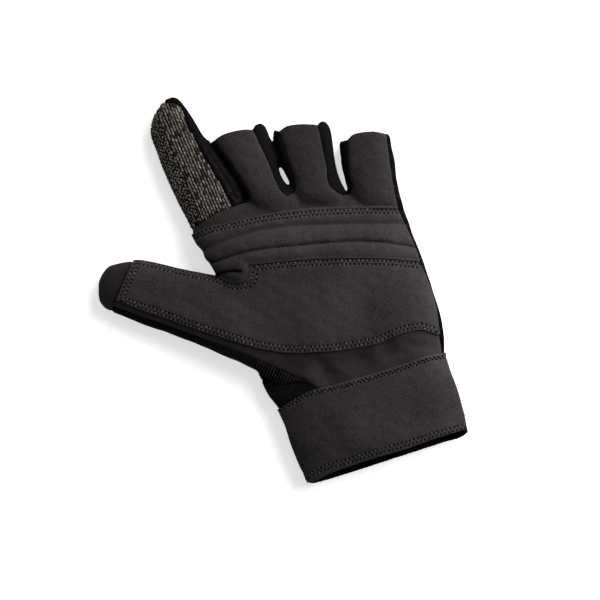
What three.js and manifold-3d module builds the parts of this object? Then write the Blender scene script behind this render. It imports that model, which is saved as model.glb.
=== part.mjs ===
// A casting glove for the left hand: three cut-off fingers, a closed index finger and a closed thumb.
// It lies palm up on the floor, filled out as when worn. Millimetres, +Z up, the floor at z = 0.
// The fingers point to +Y, the thumb to -X and the cuff to -Y.

import * as THREE from 'three';
import { LoftGeometry } from 'three/addons/geometries/LoftGeometry.js';
import { mergeVertices } from 'three/addons/utils/BufferGeometryUtils.js';
import Module from 'manifold-3d';

const wasm = await Module();
wasm.setup();

// Driving sizes

const clothThickness = 1.5;
const patchThickness = 1.2;
const padThickness = 2.4;
const quiltDepth = 1.3;
const quiltWidth = 1.6;
const cuffThickness = 1.6;
const clearance = 0.3;
const sideSeamHeight = 4.5;
const overlayEdgeHeight = 8.5;
const cuffOpeningHeight = 8.5;
const tallestPoint = 40;

// Share of a section's height at which it is widest, how square it is, and how far it is pressed flat below
const widestShare = 0.42;
const roundness = 0.8;
const bellyPress = 1.35;

// The cuff band lies under the sleeve too, so the sleeve is raised by the band
const sleeveLift = cuffThickness + clearance;

// Sections of the hollow form. Each row is one upright section across the part, from its root outwards:
// left and right edge as seen along the part, then its lowest and its highest point.
const sectionColumns = ['leftX', 'leftY', 'rightX', 'rightY', 'bottom', 'top'];

const handSections = [
  [17, -105, 93, -81, sleeveLift, 16],
  [13.5, -96, 90, -72, sleeveLift, 16],
  [6.5, -78, 85, -52, sleeveLift, 16.5],
  [0, -59.5, 80, -33, sleeveLift, 17.5],
  [-6.5, -53, 79.5, -26.5, sleeveLift, 19],
  [-12, -41, 80, -20, 0, 21],
  [-21, -22, 79, -11, 0, 23.5],
  [-28.5, -6, 76, -3, 0, 24.5],
  [-34, 7, 72.5, 8, 0, 24],
  [-39.5, 19, 69, 19, 0, 22.5],
  [-45, 29, 65, 29.5, 0, 20],
  [-49, 37, 61, 38.5, 0, 17.5],
  [-50.5, 41, 58.5, 47, 0, 14],
  [-46, 45, 57, 52, 1, 9],
];

const indexSections = [
  [-40.5, 20.5, -10, 34.5, 1, 15],
  [-44.5, 27, -14, 41.5, 0, 17.5],
  [-48, 35, -20, 48, 0, 17],
  [-51, 41.5, -23, 55, 0, 16],
  [-55, 50, -28.5, 62.5, 0, 15.5],
  [-59, 59, -34, 70.5, 0, 15],
  [-63.5, 71, -41.5, 81, 0, 14.5],
  [-65.5, 78.5, -46, 88.5, 0.5, 13.5],
  [-64, 86, -49.5, 93, 1, 12],
  [-61, 91, -52, 95, 2, 10.5],
  [-58, 94.7, -55, 96, 3.5, 9],
];

const middleSections = [
  [-10, 29, 15, 38, 1, 15],
  [-14, 38.5, 8.5, 47.5, 0, 18],
  [-17.5, 45, 1, 55, 0, 17],
  [-20.5, 51.5, -1.5, 61, 0, 16],
  [-24.5, 58.5, -4, 69, 0, 15],
  [-29.5, 65.5, -6.5, 77, 0, 14.5],
  [-35, 73, -9, 83.5, 0, 14],
  [-38, 78, -11, 89, 0, 13.5],
];

const ringSections = [
  [7.5, 38, 35, 42, 1, 15],
  [5, 46, 33, 50, 0, 17.5],
  [3, 53.5, 28, 56.5, 0, 16.5],
  [0.5, 60, 27, 63, 0, 15.5],
  [-2, 66.5, 26, 70, 0, 15],
  [-3.5, 73, 25, 77, 0, 14.5],
  [-4.5, 79.5, 23.5, 83.5, 0, 14],
  [-5.5, 85.5, 22, 90, 0, 13.5],
];

const littleSections = [
  [37.5, 37.5, 60, 39, 1, 14],
  [35.5, 44.5, 59, 45.5, 0, 16],
  [33, 51, 57.5, 52, 0, 15.5],
  [31.5, 56, 56.5, 58, 0, 15],
  [30, 62, 56, 64.5, 0, 14.5],
  [29, 68.5, 54.5, 71, 0, 14],
  [28.5, 75, 53.5, 77.5, 0, 13.5],
  [28, 81.5, 51.5, 84, 0, 13],
];

const thumbSections = [
  [9, -44, 4, -1, 1, 19],
  [-7, -41, -10, 2, 0, 20.5],
  [-22, -35, -24, 4.5, 0, 21],
  [-36.5, -29, -33, 7, 0, 20.5],
  [-49.5, -24, -43, 9.5, 0, 19],
  [-62, -19.5, -54, 12, 0, 17.5],
  [-72.5, -16, -65, 14.5, 0, 16.5],
  [-81.5, -12.5, -75, 15.5, 0, 15.5],
  [-86.5, -10, -82.5, 14, 0.5, 14],
  [-89.5, -8, -87.5, 11.5, 1, 12.5],
  [-91.5, -5, -90.5, 7.5, 2, 10.5],
  [-92, -2, -92, 4, 4, 8.5],
];

// Steps round a section, and whether its outer end is closed by the cloth. The inside is drawn coarser.
const insideDetail = 0.7;
const tubes = [
  { sections: handSections, steps: 28, closedTip: false },
  { sections: indexSections, steps: 14, closedTip: true },
  { sections: middleSections, steps: 14, closedTip: false },
  { sections: ringSections, steps: 14, closedTip: false },
  { sections: littleSections, steps: 14, closedTip: false },
  { sections: thumbSections, steps: 16, closedTip: true },
];

// Seams and edges as seen from above. Each row is one point: x, y.

const knitFoot = [[-54, 20], [-44, 29], [-35.5, 36.5], [-24, 42], [-19, 44]];
const indexMiddleDivide = [[-19, 44], [-19.5, 48], [-22, 53.5], [-28, 62.5], [-33.6, 70.5], [-38.7, 78]];
const knitSide = [[-24, 42], [-32, 56], [-38.5, 67], [-46.5, 82], [-51.5, 93], [-53.5, 94.3], [-58, 94.6]];

const middleLeft = [[-17, 44.5], [-16.3, 46.5], [-19.3, 52.5], [-23.7, 59.5], [-28.5, 66.5], [-34, 74]];
const middleTop = [[-34, 74], [-30.5, 77.7], [-24, 79.7], [-18, 80.7], [-14.5, 80.7]];
const middleRight = [[-14.5, 80.7], [-10.5, 69.5], [-6.5, 59.5], [-2, 51.5], [3, 47.2]];
const ringLeft = [[3, 47.2], [5.5, 50], [4, 56.5], [1.5, 63.5], [-0.5, 70.5], [-2, 79.5]];
const ringTop = [[-2, 79.5], [1.5, 82], [6, 83.1], [12, 83.4], [18, 83]];
const ringRight = [[18, 83], [20.5, 71.5], [22.5, 62], [24, 52.5], [26.5, 50], [31, 47.7]];
const littleLeft = [[31, 47.7], [34, 49.5], [33, 58.5], [32.3, 70], [32.5, 75.5]];
const littleTop = [[32.5, 75.5], [35, 78], [40, 79.3], [46, 79.7], [52.6, 78.7]];
const littleRight = [[52.6, 78.7], [53.6, 71], [54.6, 62], [56, 54], [57.3, 46.5], [60, 38.5], [62.5, 32]];

const middleStripTop = [[-13, 83], [-11, 84], [-8.5, 83.3], [-6, 79], [-4.5, 80.3]];
const ringStripTop = [[19.3, 84.4], [21.3, 85], [23.5, 83.5], [26, 78], [28, 74.6]];
const indexStripTop = [[-37, 77.5], [-35, 76.5]];

const rootSeam = [[-54, 16], [-40, 22.5], [-20, 29], [0, 33.5], [28, 36], [45, 35.5], [62.5, 32]];
const palmSide = [[62.5, 32], [64.5, 26], [69, 15], [73, 6], [77, -3], [84, -10], [84, -36]];
const heelLower = [
  [-86, -7.5], [-75, -11.5], [-51.5, -19.8], [-24.5, -29.8],
  [-8.5, -36.3], [3.5, -41.8], [13, -45.8], [22, -54],
];
const cuffUnder = [[-14, -66], [-2, -64], [14, -57], [22, -54], [43, -47.5], [60, -43], [95, -36]];
const thumbCapEdge = [[-88, -18], [-83.5, -5], [-74, 16.5], [-73, 22]];
const thumbRoot = [[-36, 12], [-33, 6], [-28, -10], [-18, -30], [-8.5, -43.3]];
const gussetTop = [[-8.5, -43.3], [-4.5, -46.3], [10, -46.3], [14, -47]];

const padTop = [[-52, 24.5], [-41, 30], [-20.5, 35], [-1.5, 39], [26.5, 41.5], [58, 42.2]];
const padRight = [[58, 42.2], [59, 37.5], [62, 32.5], [64, 26], [67, 19.5], [69, 14.8]];
const patchTop = [[69, 14.8], [54, 16], [38.5, 16.3], [19, 15.9], [4.5, 15], [-7, 13.8], [-16, 13]];
const padGrooves = [
  [[-48, 18.5], [-43, 20.5], [-21, 27.5], [-1, 31.8], [29, 33.2], [66, 33.5]],
  [[-40, 12], [-36, 13.5], [-17, 19.5], [7, 22.8], [46.5, 24.8], [70, 21.5]],
];
const webNotch = [[-16, 13], [-15.8, 9], [-18.2, 4.6], [-26, 4], [-34.5, 8], [-39, 11]];
const patchRight = [[78.5, -22.5], [77.5, -14], [75.5, -4], [73, 6], [69, 14.8]];
const patchBottom = [
  [-83, -4.8], [-72.3, -9.1], [-56.5, -14.6], [-40.5, -20.2], [-24.5, -25.2], [-9, -29.5], [2.7, -31.2],
  [18.6, -30.8], [34.6, -29.2], [46.6, -26.8], [62.5, -20.8], [68, -19.8], [78.5, -22.5],
];
const thumbOuterEdge = [[-39, 11], [-41, 16], [-60, 19], [-74, 20], [-74, 16.2], [-83, -4.8]];

const cuffTop = [[-8, -62.8], [-2, -59.5], [12.5, -51], [27, -46.8], [59, -37.3], [74.5, -32.2], [88, -30.5]];
const frontHem = [[98, -67], [90.5, -69.3], [74.5, -73.8], [59, -78.8], [41, -83.3], [17.5, -90.8], [5, -98]];
const backHem = [[98, -70], [82.5, -75], [72, -78.3], [48, -86.3], [35, -91], [13, -96.3], [5, -98]];

const backFingerEdges = [
  [-40, 71], [-24, 77.3], [-9, 81], [-7, 78], [9, 81.3], [24.5, 81.3], [26.5, 73.5], [41, 77], [56, 76],
];

// Solids for joining and cutting

function toSolid(shape) {
  const geometry = new THREE.BufferGeometry();
  geometry.setAttribute('position', shape.getAttribute('position'));
  geometry.setIndex(shape.getIndex());
  const merged = mergeVertices(geometry, 1e-4);
  const corners = Array.from(merged.index.array);
  const triangles = [];
  for (let i = 0; i < corners.length; i += 3) {
    const [a, b, c] = corners.slice(i, i + 3);
    if (a !== b && b !== c && c !== a) {
      triangles.push(a, b, c);
    }
  }
  return new wasm.Manifold(new wasm.Mesh({
    numProp: 3,
    vertProperties: Float32Array.from(merged.attributes.position.array),
    triVerts: Uint32Array.from(triangles),
  }));
}

function toGeometry(solid) {
  const mesh = solid.getMesh();
  const geometry = new THREE.BufferGeometry();
  geometry.setAttribute('position', new THREE.BufferAttribute(mesh.vertProperties, 3));
  geometry.setIndex(new THREE.BufferAttribute(mesh.triVerts, 1));
  const faceted = geometry.toNonIndexed();
  faceted.computeVertexNormals();
  return faceted;
}

// One section as a ring of points, grown outwards by a distance
function sectionRing(section, steps, grow) {
  const left = new THREE.Vector2(section.leftX, section.leftY);
  const right = new THREE.Vector2(section.rightX, section.rightY);
  const centre = left.clone().add(right).divideScalar(2);
  const across = right.clone().sub(left);
  const halfWidth = across.length() / 2 + grow;
  across.normalize();
  const widest = section.bottom + widestShare * (section.top - section.bottom);
  const rise = section.top + grow - widest;
  const drop = widest - section.bottom + grow;
  const ring = [];
  for (let step = 0; step < steps; step++) {
    const angle = 2 * Math.PI * step / steps;
    const side = -Math.sign(Math.cos(angle)) * Math.abs(Math.cos(angle)) ** roundness * halfWidth;
    const lift = Math.abs(Math.sin(angle)) ** roundness;
    const sink = Math.min(lift * bellyPress, 1);
    const height = Math.sin(angle) > 0 ? widest + lift * rise : widest - sink * drop;
    ring.push(new THREE.Vector3(centre.x + across.x * side, centre.y + across.y * side, height));
  }
  return ring;
}

// A ring drawn together in its middle, which closes the end of a tube
function closingRing(ring) {
  const middle = ring.reduce((sum, point) => sum.add(point), new THREE.Vector3()).divideScalar(ring.length);
  return ring.map(() => middle.clone());
}

// A tube through its sections. A closed tip moves out with the growth.
function tubeSolid(tube, grow) {
  const steps = grow < 0 ? Math.round(tube.steps * insideDetail) : tube.steps;
  const sections = tube.sections.map((row) => Object.fromEntries(
    sectionColumns.map((name, column) => [name, row[column]]),
  ));
  const rings = sections.map((section) => sectionRing(section, steps, grow));
  if (tube.closedTip) {
    const last = sections[sections.length - 1];
    const before = sections[sections.length - 2];
    const outwards = new THREE.Vector3(
      last.leftX + last.rightX - before.leftX - before.rightX,
      last.leftY + last.rightY - before.leftY - before.rightY,
      0,
    ).normalize();
    rings[rings.length - 1].forEach((point) => point.addScaledVector(outwards, grow));
  }
  const closedRings = [closingRing(rings[0]), ...rings, closingRing(rings[rings.length - 1])];
  return toSolid(new LoftGeometry(closedRings));
}

// The whole hand form, grown by a distance
function handForm(grow) {
  return tubes.map((tube) => tubeSolid(tube, grow)).reduce((whole, tube) => whole.add(tube));
}

// The skin of the hand form between two distances
function skin(inner, outer) {
  return handForm(outer).subtract(handForm(inner));
}

// Moves each side of an outline outwards by a distance
function growOutline(points, distance) {
  const turn = THREE.ShapeUtils.area(points) > 0 ? 1 : -1;
  const normals = points.map((point, i) => {
    const next = points[(i + 1) % points.length];
    return new THREE.Vector2(next.y - point.y, point.x - next.x).normalize().multiplyScalar(turn);
  });
  return points.map((point, i) => {
    const before = normals[(i + points.length - 1) % points.length];
    const bisector = before.clone().add(normals[i]).normalize();
    const reach = distance / Math.max(bisector.dot(normals[i]), 0.5);
    return point.clone().addScaledVector(bisector, reach);
  });
}

// An upright block over an outline that is made of edges laid end to end
function block(edges, low, high, grow = 0) {
  const points = edges.flat().map(([x, y]) => new THREE.Vector2(x, y));
  const outline = points.filter((point, i) => point.distanceTo(points[(i + 1) % points.length]) > 0.01);
  const shape = new THREE.Shape(grow > 0 ? growOutline(outline, grow) : outline);
  const depth = high - low + 2 * grow;
  const geometry = new THREE.ExtrudeGeometry(shape, { depth, bevelEnabled: false });
  geometry.translate(0, 0, low - grow);
  return toSolid(geometry);
}

const reversed = (edge) => [...edge].reverse();
const below = -5;

// How far a region reaches in height: above the side seams, all the way, or below the cuff's opening
const upperSide = { low: sideSeamHeight, high: tallestPoint };
const bothSides = { low: below, high: tallestPoint };
const cuffBackSide = { low: below, high: cuffOpeningHeight };

// Regions of the base cloth, each as the edges round its parts.
// A region that stands earlier in the list keeps its place, and a later one is cut back to clear it.
const baseRegions = [
  {
    name: 'finger_panel',
    look: 'suede',
    parts: [{
      edges: [
        knitFoot, middleLeft, middleTop, middleRight, ringLeft, ringTop, ringRight,
        littleLeft, littleTop, littleRight, reversed(rootSeam),
      ],
      ...upperSide,
    }],
  },
  {
    name: 'index_knit',
    look: 'marlKnit',
    parts: [{ edges: [knitFoot.slice(0, 3), knitSide, [[-66, 97], [-80, 80], [-66, 40]]], ...upperSide }],
  },
  {
    name: 'thumb_tip',
    look: 'smoothCloth',
    parts: [{ edges: [thumbCapEdge, [[-100, 22], [-100, -18]]], ...bothSides }],
  },
  {
    name: 'heel_panel',
    look: 'smoothCloth',
    parts: [{
      edges: [
        rootSeam, palmSide, reversed(cuffUnder).slice(1, 3), reversed(heelLower),
        [[-83.5, -5], [-74, 16.5], [-74, 20]],
      ],
      ...upperSide,
    }],
  },
  {
    name: 'fourchette_index_middle',
    look: 'stretch',
    parts: [{ edges: [indexMiddleDivide, indexStripTop, reversed(middleLeft)], ...upperSide }],
  },
  {
    name: 'fourchette_middle_ring',
    look: 'stretch',
    parts: [{ edges: [reversed(middleRight), middleStripTop, reversed(ringLeft)], ...upperSide }],
  },
  {
    name: 'fourchette_ring_little',
    look: 'stretch',
    parts: [{ edges: [reversed(ringRight), ringStripTop, reversed(littleLeft)], ...upperSide }],
  },
  {
    name: 'index_back',
    look: 'ribKnit',
    parts: [{ edges: [knitFoot, indexMiddleDivide, [[-46, 100], [-80, 100], [-80, 40]]], ...bothSides }],
  },
  {
    name: 'thumb_back',
    look: 'ribKnit',
    parts: [
      { edges: [thumbRoot, [[-14, -48], [-100, -30], [-100, 22], [-60, 22]]], ...bothSides },
      { edges: [gussetTop, [[13, -40], [-18, -30]]], ...upperSide },
    ],
  },
  {
    name: 'cuff_lining',
    look: 'stretch',
    parts: [
      { edges: [cuffUnder, frontHem], ...bothSides },
      { edges: [cuffUnder, backHem], ...cuffBackSide },
    ],
  },
  {
    name: 'back_panel',
    look: 'ribKnit',
    parts: [{
      edges: [backFingerEdges, [[80, 40], [100, -30]], reversed(cuffUnder), [[-60, -30], [-60, 30]]],
      ...bothSides,
    }],
  },
];

const regionSolid = (region, grow) => region.parts
  .map((part) => block(part.edges, part.low, part.high, grow))
  .reduce((whole, part) => whole.add(part));

// Looks, from the photograph: base colour and roughness
const looks = {
  suede: { color: 0x3a3637, roughness: 0.92 },
  smoothCloth: { color: 0x2a2627, roughness: 0.85 },
  ribKnit: { color: 0x1c1a1b, roughness: 0.9 },
  marlKnit: { color: 0x3c3a36, roughness: 0.95 },
  stretch: { color: 0x1e1c1d, roughness: 0.88 },
};

const material = (look) => new THREE.MeshStandardMaterial({ ...looks[look], metalness: 0 });

const glove = new THREE.Group();

function addPiece(name, solid, look) {
  const mesh = new THREE.Mesh(toGeometry(solid), material(look));
  mesh.name = name;
  glove.add(mesh);
}

// Base cloth, panel by panel

let remaining = skin(-clothThickness, 0);
for (const region of baseRegions) {
  addPiece(region.name, remaining.intersect(regionSolid(region, 0)), region.look);
  remaining = remaining.subtract(regionSolid(region, clearance));
}

// Overlays sewn on the base cloth

const patchEdges = [patchBottom, patchRight, patchTop, webNotch, thumbOuterEdge];
const patchSolid = skin(clearance, clearance + patchThickness)
  .intersect(block(patchEdges, overlayEdgeHeight, tallestPoint));
addPiece('palm_patch', patchSolid, 'suede');

const padEdges = [padTop, padRight, patchTop, webNotch, [[-60, 11], [-60, 24.5]]];
const padSolid = skin(clearance, clearance + padThickness)
  .intersect(block(padEdges, overlayEdgeHeight, tallestPoint))
  .subtract(block(patchEdges, below, tallestPoint, clearance));

// The quilting of the pad is sewn down along two grooves
const shifted = (edge, distance) => edge.map(([x, y]) => [x, y + distance]);
const grooveFloor = handForm(clearance + padThickness - quiltDepth);
const grooveEdges = (edge) => [shifted(edge, quiltWidth / 2), reversed(shifted(edge, -quiltWidth / 2))];
const grooves = padGrooves
  .map((edge) => block(grooveEdges(edge), 0, tallestPoint))
  .reduce((both, groove) => both.add(groove))
  .subtract(grooveFloor);
addPiece('knuckle_pad', padSolid.subtract(grooves), 'suede');

const cuffBlock = block([cuffTop, frontHem], below, tallestPoint)
  .add(block([cuffTop, backHem], below, cuffOpeningHeight - clearance));
addPiece('cuff_band', skin(clearance, sleeveLift).intersect(cuffBlock), 'suede');

// The origin is the middle of the part as seen from above, on the floor
const bounds = new THREE.Box3().setFromObject(glove);
const middle = bounds.getCenter(new THREE.Vector3());
glove.position.set(-middle.x, -middle.y, -bounds.min.z);

export default glove;
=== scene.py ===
"""A casting glove for the left hand, lying palm up, filled out as when worn.

Three cut-off fingers, a closed index finger with a knitted front, and a closed thumb.
Sizes in the tables are millimetres in the plan of the glove: the fingers point to +Y and the thumb to -X.
"""

import math

import bmesh
import bpy
import numpy as np
from bpy.props import FloatProperty, FloatVectorProperty, PointerProperty
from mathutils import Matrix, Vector
from mathutils.bvhtree import BVHTree
from mathutils.kdtree import KDTree


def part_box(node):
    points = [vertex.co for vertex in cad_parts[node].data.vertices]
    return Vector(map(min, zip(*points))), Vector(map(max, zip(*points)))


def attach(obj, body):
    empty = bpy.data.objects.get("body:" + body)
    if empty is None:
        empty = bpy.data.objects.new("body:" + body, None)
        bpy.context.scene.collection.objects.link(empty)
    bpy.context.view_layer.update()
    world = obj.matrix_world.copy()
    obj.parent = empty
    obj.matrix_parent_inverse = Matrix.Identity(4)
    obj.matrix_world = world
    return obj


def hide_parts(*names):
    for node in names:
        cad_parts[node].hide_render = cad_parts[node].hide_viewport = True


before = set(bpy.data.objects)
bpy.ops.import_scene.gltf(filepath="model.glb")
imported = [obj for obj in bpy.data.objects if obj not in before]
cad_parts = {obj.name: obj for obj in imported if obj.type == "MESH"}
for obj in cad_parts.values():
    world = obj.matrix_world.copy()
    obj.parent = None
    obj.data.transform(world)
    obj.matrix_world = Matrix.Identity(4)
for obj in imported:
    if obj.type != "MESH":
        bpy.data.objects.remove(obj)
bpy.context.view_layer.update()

bl_info = {
    "name": "Casting Glove",
    "version": (1, 0, 0),
    "blender": (4, 5, 0),
    "location": "View3D > Sidebar > Glove",
    "description": "Sews a casting glove from suede, knit and stretch cloth over its packed solids",
    "category": "Add Mesh",
}

MM = 0.001

# The tables' thumb end and index end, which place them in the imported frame
THUMB_END_X = -92.0
INDEX_END_Y = 96.0
SHIFT = np.array([
    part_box("thumb_tip")[0].x / MM - THUMB_END_X,
    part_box("index_back")[1].y / MM - INDEX_END_Y,
    0.0,
])

# ---------------------------------------------------------------- the hand form

# The skin's square cells, and the distance between the rings of the tubes under it
CELL = 0.8
RING_SPACING = 2.6

# Share of a section's height at which it is widest, and how far it is pressed flat below that
WIDEST_SHARE = 0.42
BELLY_PRESS = 1.35

# Heights: the seam along the hand's sides, the lowest edge of the overlays, the cuff's mouth at the back,
# the lowest place for folds and stitch tracks, and two heights past everything
SIDE_SEAM = 4.5
OVERLAY_EDGE = 8.5
CUFF_OPENING = 8.5
FRONT_LEVEL = 7.0
TALLEST = 40.0
BELOW = -5.0

# Space between two pieces that lie on each other or side by side
GAP = 0.3

# Skin that slopes less than this towards a pull isn't pulled
STEEPEST = 0.03

# How high over the skin the overlays are cut, and the share of their height that they keep on a flank
OVERLAY_LIFT = 1.3
FLANK_SHARE = 0.35

# The oval in which the thumb's root is blended into the palm: its middle, half its size, and its lowest height
THUMB_BLEND = (-12, -12, 30, 22, 12)

# Sections of the tubes: leftX, leftY, rightX, rightY, bottom, top
HAND = [
    [16.6, -105, 95.5, -81, 1.9, 16], [13.1, -96, 93, -72, 1.9, 16], [5.9, -78, 88, -52, 1.9, 16.5],
    [-1.9, -59.5, 81.5, -33, 1.9, 17.5], [-7, -53, 81.6, -26.5, 1.9, 19], [-12, -41, 81, -20, 0, 21],
    [-21, -22, 79.2, -11, 0, 23.5], [-28.5, -6, 76.4, -3, 0, 24.5], [-32, 6.5, 73.1, 8, 0, 24],
    [-38.3, 19, 69.1, 19, 0, 22.5], [-43.4, 29, 65.3, 29.5, 0, 20], [-48.3, 37, 62, 38.5, 0, 17.5],
    [-50.5, 41, 58.8, 45, 0, 14], [-46, 43.5, 57, 49.5, 1, 9],
]
INDEX = [
    [-39.6, 20.5, -10, 34.5, 1, 15], [-43.7, 27, -14, 41.5, 0, 17.5], [-47.7, 35, -20, 48, 0, 17],
    [-51, 41.5, -23, 55, 0, 16], [-55, 50, -28.5, 62.5, 0, 15.5], [-59, 59, -34, 70.5, 0, 15],
    [-63.5, 71, -41.5, 81, 0, 14.5], [-66.2, 78.5, -46, 88.5, 0.5, 13.5], [-65, 86.5, -49.5, 93, 1, 12],
    [-62.3, 91.8, -52, 96, 2, 10.5], [-59, 96, -54.6, 97.4, 3.5, 9],
]
MIDDLE = [
    [-10, 29, 15, 38, 1, 15], [-14, 38.5, 8.5, 47.5, 0, 18], [-18, 45, 1.2, 54.6, 0, 17],
    [-21.5, 51.5, -1.5, 60.3, 0, 16], [-26, 58.5, -3.5, 69, 0, 15], [-31, 65.5, -6.2, 77, 0, 14.5],
    [-36.3, 73, -9, 83.5, 0, 14], [-37, 77.5, -11, 89, 0, 13.5],
]
RING = [
    [7.5, 38, 35, 42, 1, 15], [5.4, 46, 32, 49.5, 0, 17.5], [3.9, 53.6, 28.8, 56, 0, 16.5],
    [0.6, 60, 27, 63, 0, 15.5], [-2.6, 66.5, 26, 70, 0, 15], [-4, 73, 25, 77, 0, 14.5],
    [-4.5, 79.5, 23.5, 83.5, 0, 14], [-5.5, 85.5, 22, 90, 0, 13.5],
]
LITTLE = [
    [37.5, 37.5, 61.4, 39, 1, 14], [35.5, 44.5, 60, 45.5, 0, 16], [33, 50.8, 58.4, 52, 0, 15.5],
    [31.5, 56, 57.4, 58, 0, 15], [30, 62, 56.8, 64.5, 0, 14.5], [29, 68.5, 55.4, 71, 0, 14],
    [28.5, 75, 54.1, 77.5, 0, 13.5], [28, 81.5, 52, 84, 0, 13],
]
THUMB = [
    [9, -45, 4, -1, 1, 19], [-7, -42.4, -10, 2, 0, 20.5], [-22, -35.7, -24, 4, 0, 21],
    [-36.5, -29.3, -31.5, 6, 0, 20.5], [-49.5, -24.2, -43, 8.7, 0, 19], [-62, -19.5, -54, 11.2, 0, 17.5],
    [-72.5, -16, -65, 13.8, 0, 16.5], [-81.5, -12.5, -75, 15.1, 0, 15.5], [-86.5, -10, -82.5, 13.8, 0.5, 14],
    [-89.5, -8, -87.5, 11.5, 1, 12.5], [-91.5, -5, -90.5, 7.5, 2, 10.5], [-92, -2, -92, 4, 4, 8.5],
]
# Sections, corners round them, and how round they are from the first section to the last
TUBES = [
    (HAND, 112, (1.15, 0.75)), (INDEX, 64, (0.9, 0.95)), (MIDDLE, 64, (0.9, 0.95)), (RING, 64, (0.9, 0.95)),
    (LITTLE, 64, (0.9, 0.95)), (THUMB, 72, (0.85, 0.85)),
]


def run_through(points, spacing):
    """A smooth run through rows of numbers, with a new row about every spacing."""
    rows = np.array(points, float)
    gaps = np.linalg.norm(np.diff(rows, axis=0), axis=1)
    slopes = np.diff(rows, axis=0) / gaps[:, None]
    tangents = np.vstack([slopes[:1], np.zeros((len(rows) - 2, rows.shape[1])), slopes[-1:]])
    share = (gaps[:-1] / (gaps[:-1] + gaps[1:]))[:, None]
    tangents[1:-1] = slopes[:-1] * (1 - share) + slopes[1:] * share
    run = []
    for i, gap in enumerate(gaps):
        t = np.linspace(0, 1, max(1, round(gap / spacing)), endpoint=False)[:, None]
        start, end = rows[i], rows[i + 1]
        run.append(
            (2 * t**3 - 3 * t**2 + 1) * start + (3 * t**2 - 2 * t**3) * end
            + (t**3 - 2 * t**2 + t) * gap * tangents[i] + (t**3 - t**2) * gap * tangents[i + 1]
        )
    return np.vstack([*run, rows[-1:]])


def curve(edge):
    """A seam or an edge, smooth through its points."""
    return run_through(edge, 1.0)


def straight(edge):
    """An edge, straight between its points."""
    return np.array(edge, float)


def back(edge):
    """An edge that runs the other way."""
    return edge[::-1]


# ---------------------------------------------------------------- seams and edges, in plan: x, y

KNIT_FOOT_POINTS = [[-54, 23], [-44.5, 30.8], [-40.9, 33.3], [-33.8, 37.9], [-24, 42], [-19, 44]]
KNIT_FOOT = curve(KNIT_FOOT_POINTS)
KNIT_FOOT_LEFT = curve(KNIT_FOOT_POINTS[:-1])
KNIT_SIDE = curve([[-24, 42], [-32, 56], [-38.5, 67], [-46.5, 82], [-51.5, 93], [-53.5, 94.3], [-58, 94.6]])
INDEX_MIDDLE_DIVIDE = curve([[-19, 44], [-19.5, 48], [-22, 53.5], [-28, 62.5], [-33.6, 70.5], [-36.4, 74]])
MIDDLE_LEFT = curve([[-17, 44.5], [-16.3, 46.5], [-19, 52.5], [-23.5, 59.5], [-29, 67.5], [-34.6, 75]])
MIDDLE_TOP = curve([[-34.6, 75], [-30.7, 77.6], [-24.1, 79.8], [-18, 80.7], [-14.5, 80.7]])
MIDDLE_RIGHT = curve([[-14.5, 80.7], [-10.3, 72], [-6.2, 63.4], [-2.6, 54.2], [-0.1, 49.6], [3, 47.2]])
RING_LEFT = curve([[3, 47.2], [5.8, 49.6], [5.8, 54.7], [4.5, 59.8], [1.9, 68], [-0.6, 75.2], [-2, 79.5]])
RING_TOP = curve([[-2, 79.5], [1.5, 82], [6, 83.1], [12, 83.4], [18, 83]])
RING_RIGHT = curve([[18, 83], [20.5, 71.5], [22.5, 62], [24, 52.5], [26.5, 50], [31, 47.7]])
LITTLE_LEFT = curve([[31, 47.7], [34, 49.5], [33, 58.5], [32.3, 70], [32.5, 75.5]])
LITTLE_TOP = curve([[32.5, 75.5], [35, 78], [40, 79.3], [46, 79.7], [52.6, 78.7]])
LITTLE_RIGHT = curve([[52.6, 78.7], [53.6, 71], [54.6, 62], [56, 54], [57.3, 46.5], [59.2, 38.5], [61, 32]])
MIDDLE_STRIP_TOP = curve([[-13, 83], [-11, 84], [-8.5, 83.3], [-6, 79], [-4.5, 80.3]])
RING_STRIP_TOP = curve([[19.3, 84.4], [21.3, 85], [23.5, 83.5], [26, 78], [28, 74.6]])
ROOT_SEAM = curve([[-54, 16], [-40, 22.5], [-20, 29], [0, 33.5], [28, 36], [45, 35.5], [61, 32]])
PALM_SIDE = curve([
    [61, 32], [63.5, 26], [67.8, 15], [71.6, 6], [75, -3], [77, -9.8], [78, -16.8], [79, -23.1], [80.3, -30.1],
    [81.5, -36], [82, -40],
])
HEEL_LOWER = curve([
    [-86, -7.5], [-75, -11.5], [-51.5, -19.8], [-24.5, -29.8], [-8.5, -36.3], [3.5, -41.8], [13, -45.8],
    [22, -54],
])
CUFF_UNDER = curve([[-14, -66], [-2, -64], [14, -57], [22, -54], [43, -47.5], [60, -43], [82, -40], [97, -37]])
CUFF_UNDER_RIGHT = straight([[60, -43], [43, -47.5]])
THUMB_CAP_EDGE = curve([[-88, -18], [-83.5, -5], [-74, 16.5], [-73, 22]])
THUMB_ROOT = curve([[-36, 12], [-33, 6], [-28, -10], [-18, -30], [-8.5, -43.3]])
GUSSET_TOP = curve([[-8.5, -43.3], [-4.5, -46.3], [10, -46.3], [14, -47]])
PAD_TOP = curve([[-52, 24.5], [-41, 30], [-20.5, 35], [-1.5, 39], [26.5, 41.5], [57.4, 42.2]])
PAD_RIGHT = curve([[57.4, 42.2], [59, 37.5], [61.4, 32.5], [64.2, 26], [66.9, 19.5], [68.7, 14.2]])
PATCH_TOP = curve([[68.7, 14.2], [54, 15.4], [38.5, 15.8], [19, 15.4], [4.5, 14.5], [-7, 13.4], [-16.6, 12.6]])
WEB_NOTCH = curve([[-16.6, 12.6], [-16.2, 9], [-18.4, 4.7], [-26, 4], [-34.5, 8], [-39, 11]])
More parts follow.
